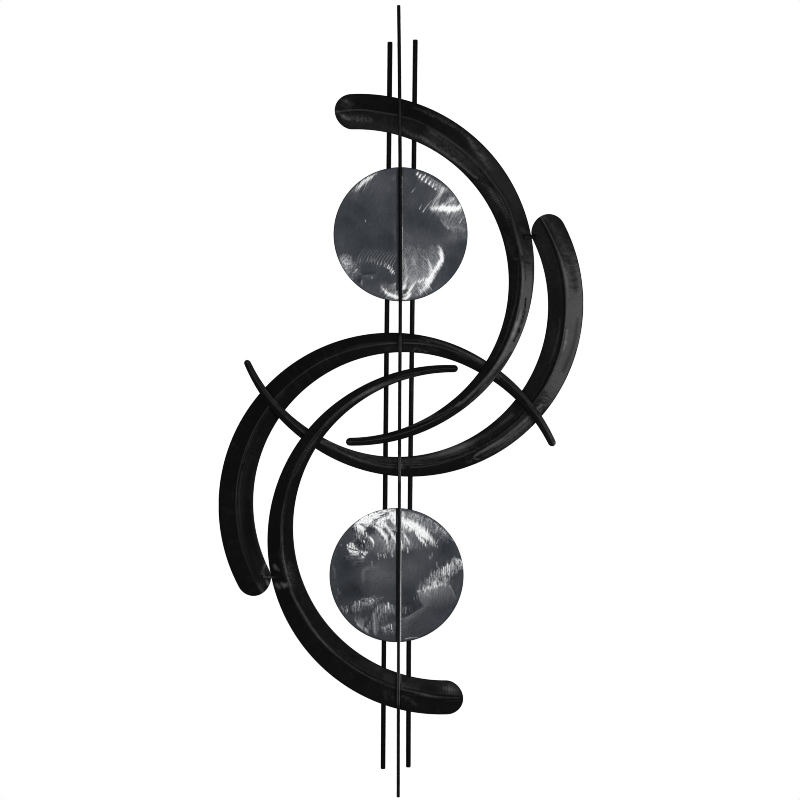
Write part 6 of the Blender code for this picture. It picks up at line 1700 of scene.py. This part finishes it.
def build_tube(name, path, radius_of, sides, tone_of, node, material, seed, end_round, beads=()):
    """path: (n, 3) points in X, depth, Z. Rounded ends, slightly uneven paint, and the
    runs of weld metal that fasten it."""
    path = np.asarray(path, float)
    n = len(path)
    tan = np.gradient(path, axis=0)
    tan /= np.linalg.norm(tan, axis=1)[:, None]
    ref = np.array([0.0, 1.0, 0.0])
    side = np.cross(tan, ref)
    side /= np.linalg.norm(side, axis=1)[:, None]
    up = np.cross(side, tan)
    length = np.concatenate([[0.0], np.cumsum(np.linalg.norm(np.diff(path, axis=0), axis=1))])
    total = length[-1]
    phi = np.linspace(0, 2 * np.pi, sides, endpoint=False)
    rad = radius_of(length)
    # the ends are rounded off by a few rings drawn closer together
    caps = [0.0, 0.25, 0.5, 0.75, 0.95]
    rings_s = [path[0] + tan[0] * end_round * (1 - math.cos(f * np.pi / 2)) for f in caps]
    radii_s = [rad[0] - end_round * (1 - math.sin(f * np.pi / 2)) for f in caps]
    keep = (length > end_round * 1.05) & (length < total - end_round * 1.05)
    idx = np.where(keep)[0]
    rings_e = [path[-1] - tan[-1] * end_round * (1 - math.cos(f * np.pi / 2)) for f in caps[::-1]]
    radii_e = [rad[-1] - end_round * (1 - math.sin(f * np.pi / 2)) for f in caps[::-1]]
    centres = np.array(rings_s + [path[i] for i in idx] + rings_e)
    rr = np.array(radii_s + [rad[i] for i in idx] + radii_e)
    sid = np.array([side[0]] * len(caps) + [side[i] for i in idx] + [side[-1]] * len(caps))
    upp = np.array([up[0]] * len(caps) + [up[i] for i in idx] + [up[-1]] * len(caps))
    ll = np.array([0.0] * len(caps) + [length[i] for i in idx] + [total] * len(caps))
    m = len(centres)
    L = np.broadcast_to(ll[:, None], (m, sides))
    P = np.broadcast_to(phi[None, :], (m, sides))
    lump = 0.00007 * fbm(L * 160, np.cos(P) * 1.3 + 7 * np.sin(P), seed, 3) + 0.00004 * noise(L * 700, np.sin(P) * 3 + np.cos(P) * 5, seed + 3)
    r_all = rr[:, None] * (1 - 0.02) + np.minimum(lump, 0.02 * rr.max())
    pos = centres[:, None, :] + r_all[..., None] * (np.cos(P)[..., None] * sid[:, None, :] + np.sin(P)[..., None] * upp[:, None, :])
    pos = pos.reshape(-1, 3)
    verts = np.stack([pos[:, 0], -pos[:, 1], pos[:, 2]], -1)
    faces = [tuple(f) for f in grid_faces(m, sides, wrap=True)]
    faces.append(tuple(range(sides - 1, -1, -1)))
    faces.append(tuple((m - 1) * sides + j for j in range(sides)))
    # outward check on one side face
    f = faces[(m // 2) * sides]
    c = verts[list(f)].mean(0)
    mid = centres[m // 2]
    mid = np.array([mid[0], -mid[1], mid[2]])
    q = verts[list(f)]
    if np.dot(np.cross(q[1] - q[0], q[2] - q[0]), c - mid) < 0:
        faces = [g[::-1] for g in faces]
    tone, gloss = tone_of(L.ravel(), P.ravel(), verts)
    for number, (centre, size, turn) in enumerate(beads):
        more, skin, light, polish = weld_bead(centre, size, turn, seed + 7 * (number + 1))
        faces += [tuple(i + len(verts) for i in face) for face in skin]
        verts = np.concatenate([verts, more])
        tone, gloss = np.concatenate([tone, light]), np.concatenate([gloss, polish])
    obj = make_mesh(name, verts, faces, {"tone": tone, "gloss": gloss})
    obj.data.set_sharp_from_angle(angle=math.radians(50))
    return settle(obj, node, material)


def rod_tone(seed, levels, points, radius, lit_flanks):
    """levels: [(height in mm, lightness of the paint)] along a rod; flanks: [(height in mm,
    extra lightness of the left side, of the right side)]: a painted highlight where that side catches the light."""
    line = sorted((z, x) for x, z in points)

    def tone_of(length, phi, verts):
        z, t = zip(*sorted(levels))
        t = np.interp(1000.0 * verts[:, 2], z, t) * (1.0 + 0.5 * fbm(length * 90, phi * 1.2, seed, 3))
        if lit_flanks:
            across = (verts[:, 0] - np.interp(verts[:, 2], *zip(*line))) / radius
            zf, left, right = zip(*sorted(lit_flanks))
            t = t + smooth(0.30, 0.85, -across) * np.interp(1000.0 * verts[:, 2], zf, left)
            t = t + smooth(0.30, 0.85, across) * np.interp(1000.0 * verts[:, 2], zf, right)
        t = t + 0.02 * np.clip(noise(length * 500, phi * 2, seed + 2), 0, 1) ** 2
        return np.clip(t, 0, 1), np.clip(0.1 + 0.3 * noise(length * 30, phi, seed + 5), 0, 1)
    return tone_of


def build_rod(name, points, depth, radius, seed, levels, thick, lit_flanks):
    """thick: [(height in mm, how many times the nominal radius)]: drawn bar isn't even."""
    xz, q = smooth_path(points, 0.0022)
    path = np.stack([xz[:, 0], np.full(len(xz), depth), xz[:, 1]], -1)
    zt, ft = zip(*sorted(thick))
    widths = radius * np.interp(1000.0 * xz[:, 1], zt, ft)
    return build_tube(name, path, lambda s: widths, 22, rod_tone(seed, levels, points, radius, lit_flanks),
                      name, ROD_PAINT, seed, radius * 0.55)


build_rod("rod_left", ROD_LEFT, SIDE_ROD_DEPTH, SIDE_ROD_R, 31, [(-700, 0.010), (500, 0.010)],
          [(-860, 1.04), (-640, 1.03), (-400, 1.06), (0, 1.07), (150, 1.07), (215, 1.12), (310, 1.13)], [])
build_rod("rod_right", ROD_RIGHT, SIDE_ROD_DEPTH, SIDE_ROD_R, 32,
          [(-700, 0.011), (-245, 0.011), (-240, 0.030), (-222, 0.036), (-219, 0.011), (500, 0.011)],
          [(-860, 1.03), (-640, 1.05), (-250, 1.05), (-180, 1.04), (0, 1.07), (310, 1.08)],
          [(-430, 0, 0), (-420, 0.02, 0), (-180, 0.03, 0), (-170, 0, 0)])
# the centre rod is painted lighter where it passes in front of the crescents and on its lit sides low down: painted
# highlights
build_rod("rod_centre", ROD_CENTRE, CENTRE_ROD_DEPTH, CENTRE_ROD_R, 33,
          [(-900, 0.012), (-726, 0.012), (-718, 0.08), (-676, 0.08), (-668, 0.020), (-600, 0.028), (-420, 0.028),
           (-385, 0.014), (-382, 0.014), (-378, 0.12), (-342, 0.115), (-338, 0.020), (-300, 0.014), (-250, 0.011),
           (-184, 0.011), (-179, 0.075), (-158, 0.075), (-153, 0.012), (148, 0.012), (154, 0.07), (208, 0.06),
           (214, 0.014), (500, 0.012)],
          [(-880, 1.03), (-690, 1.03), (-640, 0.98), (-430, 0.98), (-380, 1.03), (-200, 1.07), (0, 1.12), (370, 1.12)],
          [(-880, 0.12, 0.06), (-725, 0.14, 0.08), (-718, 0.30, 0.30), (-676, 0.30, 0.32), (-640, 0.24, 0.34),
           (-600, 0.06, 0.26), (-560, 0.04, 0.18), (-420, 0.03, 0.15), (-385, 0.02, 0.10), (-378, 0.08, 0.06),
           (-342, 0.08, 0.04), (-338, 0.01, 0.02), (-250, 0, 0), (-182, 0, 0), (-178, 0.12, 0.08),
           (-158, 0.12, 0.08), (-153, 0, 0)])


def build_link(name, left, right, seed, levels, sizes, fill=None):
    ends, surface = [], []
    for owner, x, z in (left, right):
        d = front_depth(CRESCENTS[owner], x, z)
        surface.append((x, d, z))
        ends.append((x, d + 1.04 * LINK_R + 0.0006, z))
    a, b = np.array(ends[0]), np.array(ends[1])
    path = a + (b - a) * np.linspace(0, 1, 40)[:, None]
    beads = [(point, size, turn) for point, (size, turn) in zip(surface, sizes)]
    if fill:                                # weld metal that fills the gap between the two
        part, size, turn = fill
        beads.append((tuple(a + (b - a) * part), size, turn))

    def tone_of(length, phi, verts):
        x, t = zip(*levels)
        t = np.interp(1000.0 * verts[:, 0], x, t) * (1.0 + 0.6 * fbm(length * 300, phi * 1.5, seed, 3))
        return np.clip(t, 0, 1), 0.15 + 0 * t

    return build_tube(name, path, lambda s: np.full(len(s), LINK_R), 20, tone_of,
                      name, ROD_PAINT, seed, LINK_R * 0.6, beads)


build_link("link_right", ("crescent_upper_right", 0.1910, -0.0032), ("crescent_right_lower", 0.2080, -0.0032), 41,
           [(190, 0.05), (199, 0.03), (203, 0.006), (211, 0.006)],
           [((0.0028, 0.0012, 0.0034), 0.2), ((0.0040, 0.0012, 0.0034), -0.4)],
           (0.66, (0.0018, 0.0016, 0.0031), 0.3))
build_link("link_left", ("crescent_left_upper", -0.2120, -0.5266), ("crescent_lower_left", -0.1915, -0.5266), 42,
           [(-213, 0.20), (-202, 0.18), (-197, 0.09), (-191, 0.02)],
           [((0.0024, 0.0012, 0.0036), -0.1), ((0.0052, 0.0018, 0.0060), 0.3)])


# ------------------------------------------------------------------ hanger straps
def build_strap(name, centre):
    """Flat bar with rounded corners and two screw holes, as a filled 2D curve."""
    curve = bpy.data.curves.new(name, "CURVE")
    curve.dimensions = "2D"
    curve.fill_mode = "BOTH"
    curve.extrude = 0.5 * STRAP_T - 0.0004
    curve.bevel_depth = 0.0003
    curve.bevel_resolution = 2
    rc, hx, hz = 0.0045, 0.5 * STRAP_L - 0.0004, 0.5 * STRAP_W - 0.0004

    def loop(points):
        sp = curve.splines.new("POLY")
        sp.points.add(len(points) - 1)
        for p, q in zip(sp.points, points):
            p.co = (q[0], q[1], 0.0, 1.0)
        sp.use_cyclic_u = True

    outline = []
    for sx, sz, a0 in ((1, 1, 0), (-1, 1, 90), (-1, -1, 180), (1, -1, 270)):
        for k in range(7):
            a = math.radians(a0 + 15 * k)
            outline.append((sx * (hx - rc) + rc * math.cos(a), sz * (hz - rc) + rc * math.sin(a)))
    loop(outline)
    for side in (-1, 1):
        loop([(side * STRAP_HOLE_X + (STRAP_HOLE_R + 0.0003) * math.cos(2 * math.pi * k / 28),
               (STRAP_HOLE_R + 0.0003) * math.sin(2 * math.pi * k / 28)) for k in range(28)])
    tmp = bpy.data.objects.new(name + "_curve", curve)
    scene.collection.objects.link(tmp)
    bpy.context.view_layer.update()
    mesh = bpy.data.meshes.new_from_object(tmp.evaluated_get(bpy.context.evaluated_depsgraph_get()))
    bpy.data.objects.remove(tmp)
    co = np.zeros(len(mesh.vertices) * 3)
    mesh.vertices.foreach_get("co", co)
    co = co.reshape(-1, 3)
    new = np.stack([centre[0] + co[:, 0], -0.5 * STRAP_T - co[:, 2] * 0.999, centre[1] + co[:, 1]], -1)
    polys = [tuple(p.vertices) for p in mesh.polygons]
    bpy.data.meshes.remove(mesh)
    tone = PAINT * (1.0 + 0.4 * fbm(new[:, 0] * 200, new[:, 2] * 200, 61, 3))
    import bmesh
    obj = make_mesh(name, new, polys, {"tone": tone, "gloss": tone * 0 + 0.2})
    bm = bmesh.new()
    bm.from_mesh(obj.data)
    bmesh.ops.remove_doubles(bm, verts=bm.verts, dist=1e-6)
    bmesh.ops.recalc_face_normals(bm, faces=bm.faces)
    bm.to_mesh(obj.data)
    bm.free()
    obj.data.shade_smooth()
    obj.data.set_sharp_from_angle(angle=math.radians(40))
    return settle(obj, name, STRAP_PAINT)


build_strap("hanger_strap_upper", (0.0, 0.0))
build_strap("hanger_strap_lower", STRAP_LOWER)


# ------------------------------------------------------------------ stage, light, camera
def stage_material(name, colour):
    mat = bpy.data.materials.new(name)
    mat.use_nodes = True
    b = mat.node_tree.nodes["Principled BSDF"]
    b.inputs["Base Color"].default_value = (*colour, 1.0)
    b.inputs["Roughness"].default_value = 0.7
    return mat


floor_mesh = bpy.data.meshes.new("stage_floor")
F = 9.0
FLOOR_Z = -1.30
floor_mesh.from_pydata([(-F, -F, FLOOR_Z), (F, -F, FLOOR_Z), (F, F, FLOOR_Z), (-F, F, FLOOR_Z)], [], [(0, 1, 2, 3)])
floor = bpy.data.objects.new("stage_floor", floor_mesh)
scene.collection.objects.link(floor)
floor_mat = stage_material("stage_floor", (0.86, 0.86, 0.86))
ft = Nodes(floor_mat.node_tree)
lit = ft.add("ShaderNodeEmission")
lit.inputs["Color"].default_value = (1.0, 1.0, 1.0, 1.0)
lit.inputs["Strength"].default_value = 1.0
mixf = ft.add("ShaderNodeMixShader")
ft.link(ft.add("ShaderNodeLightPath").outputs["Is Camera Ray"], mixf.inputs["Fac"])
ft.link(floor_mat.node_tree.nodes["Principled BSDF"].outputs["BSDF"], mixf.inputs[1])
ft.link(lit.outputs["Emission"], mixf.inputs[2])
ft.link(mixf.outputs[0], floor_mat.node_tree.nodes["Material Output"].inputs["Surface"])
floor_mesh.materials.append(floor_mat)
floor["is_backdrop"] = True

world = bpy.data.worlds.new("studio")
scene.world = world
world.use_nodes = True
wt = Nodes(world.node_tree)
world.node_tree.nodes.clear()
wout = wt.add("ShaderNodeOutputWorld")
seen = wt.add("ShaderNodeBackground")
seen.inputs["Color"].default_value = (1.0, 1.0, 1.0, 1.0)
seen.inputs["Strength"].default_value = 1.0
amb = wt.add("ShaderNodeBackground")
amb.inputs["Color"].default_value = (0.985, 0.99, 1.0, 1.0)
# a dim room with one broad soft light behind the camera
sep = wt.add("ShaderNodeSeparateXYZ")
wt.link(wt.add("ShaderNodeTexCoord").outputs["Generated"], sep.inputs[0])
front = wt.range(sep.outputs["Y"], -0.87, -0.97, 0.0, 1.0)
wt.link(wt.math("MULTIPLY_ADD", front, 1.15, 0.20), amb.inputs["Strength"])
mixw = wt.add("ShaderNodeMixShader")
lp = wt.add("ShaderNodeLightPath")
wt.link(lp.outputs["Is Camera Ray"], mixw.inputs["Fac"])
wt.link(amb.outputs[0], mixw.inputs[1])
wt.link(seen.outputs[0], mixw.inputs[2])
wt.link(mixw.outputs[0], wout.inputs["Surface"])


def softbox(name, place, target, width, height, radiance, colour=(1.0, 1.0, 1.0)):
    data = bpy.data.lights.new(name, "AREA")
    data.shape = "RECTANGLE"
    data.size, data.size_y = width, height
    data.energy = radiance * math.pi * width * height
    data.color = colour
    obj = bpy.data.objects.new(name, data)
    scene.collection.objects.link(obj)
    from mathutils import Vector
    d = Vector(target) - Vector(place)
    obj.location = place
    obj.rotation_mode = "QUATERNION"
    obj.rotation_quaternion = d.to_track_quat("-Z", "Y")
    obj.visible_camera = False
    return obj


softbox("key_right", (0.60, -0.50, -0.24), (0.20, 0.0, -0.17), 0.29, 0.52, 3.6)
softbox("fill_upper", (0.62, -0.85, 0.44), (0.1, 0.0, -0.1), 0.46, 0.36, 0.85)
softbox("low", (0.0, -0.85, -0.30), (0.0, 0.0, 0.15), 0.5, 0.20, 0.6)
softbox("back_left", (-0.95, 1.15, 0.55), (0.0, 0.0, -0.25), 0.7, 1.1, 4.2)
softbox("back_right", (1.05, 0.95, -0.20), (0.0, 0.0, -0.30), 0.5, 0.9, 3.4)
softbox("back_low", (0.20, 1.60, -0.88), (0.0, 0.0, -0.26), 1.3, 0.55, 2.4)

cam_data = bpy.data.cameras.new("camera")
cam = bpy.data.objects.new("camera", cam_data)
scene.collection.objects.link(cam)
DIST = 20.0
WIDE = 1.23168
cam_data.sensor_fit = "AUTO"
cam_data.sensor_width = 36.0
cam_data.lens = 36.0 * (DIST - 0.015) / WIDE
cam_data.clip_start, cam_data.clip_end = 0.1, 100.0
cam.location = (-0.00077, -DIST, -0.25403)
cam.rotation_euler = (math.radians(90.0), 0.0, 0.0)
scene.camera = cam
scene.view_settings.view_transform = "Standard"
scene.view_settings.look = "None"
if hasattr(scene, "cycles"):
    scene.cycles.filter_width = 1.0       # crisp edges
scene.view_settings.gamma = PRINT_GAMMA      # print-like contrast: deep blacks on a white ground
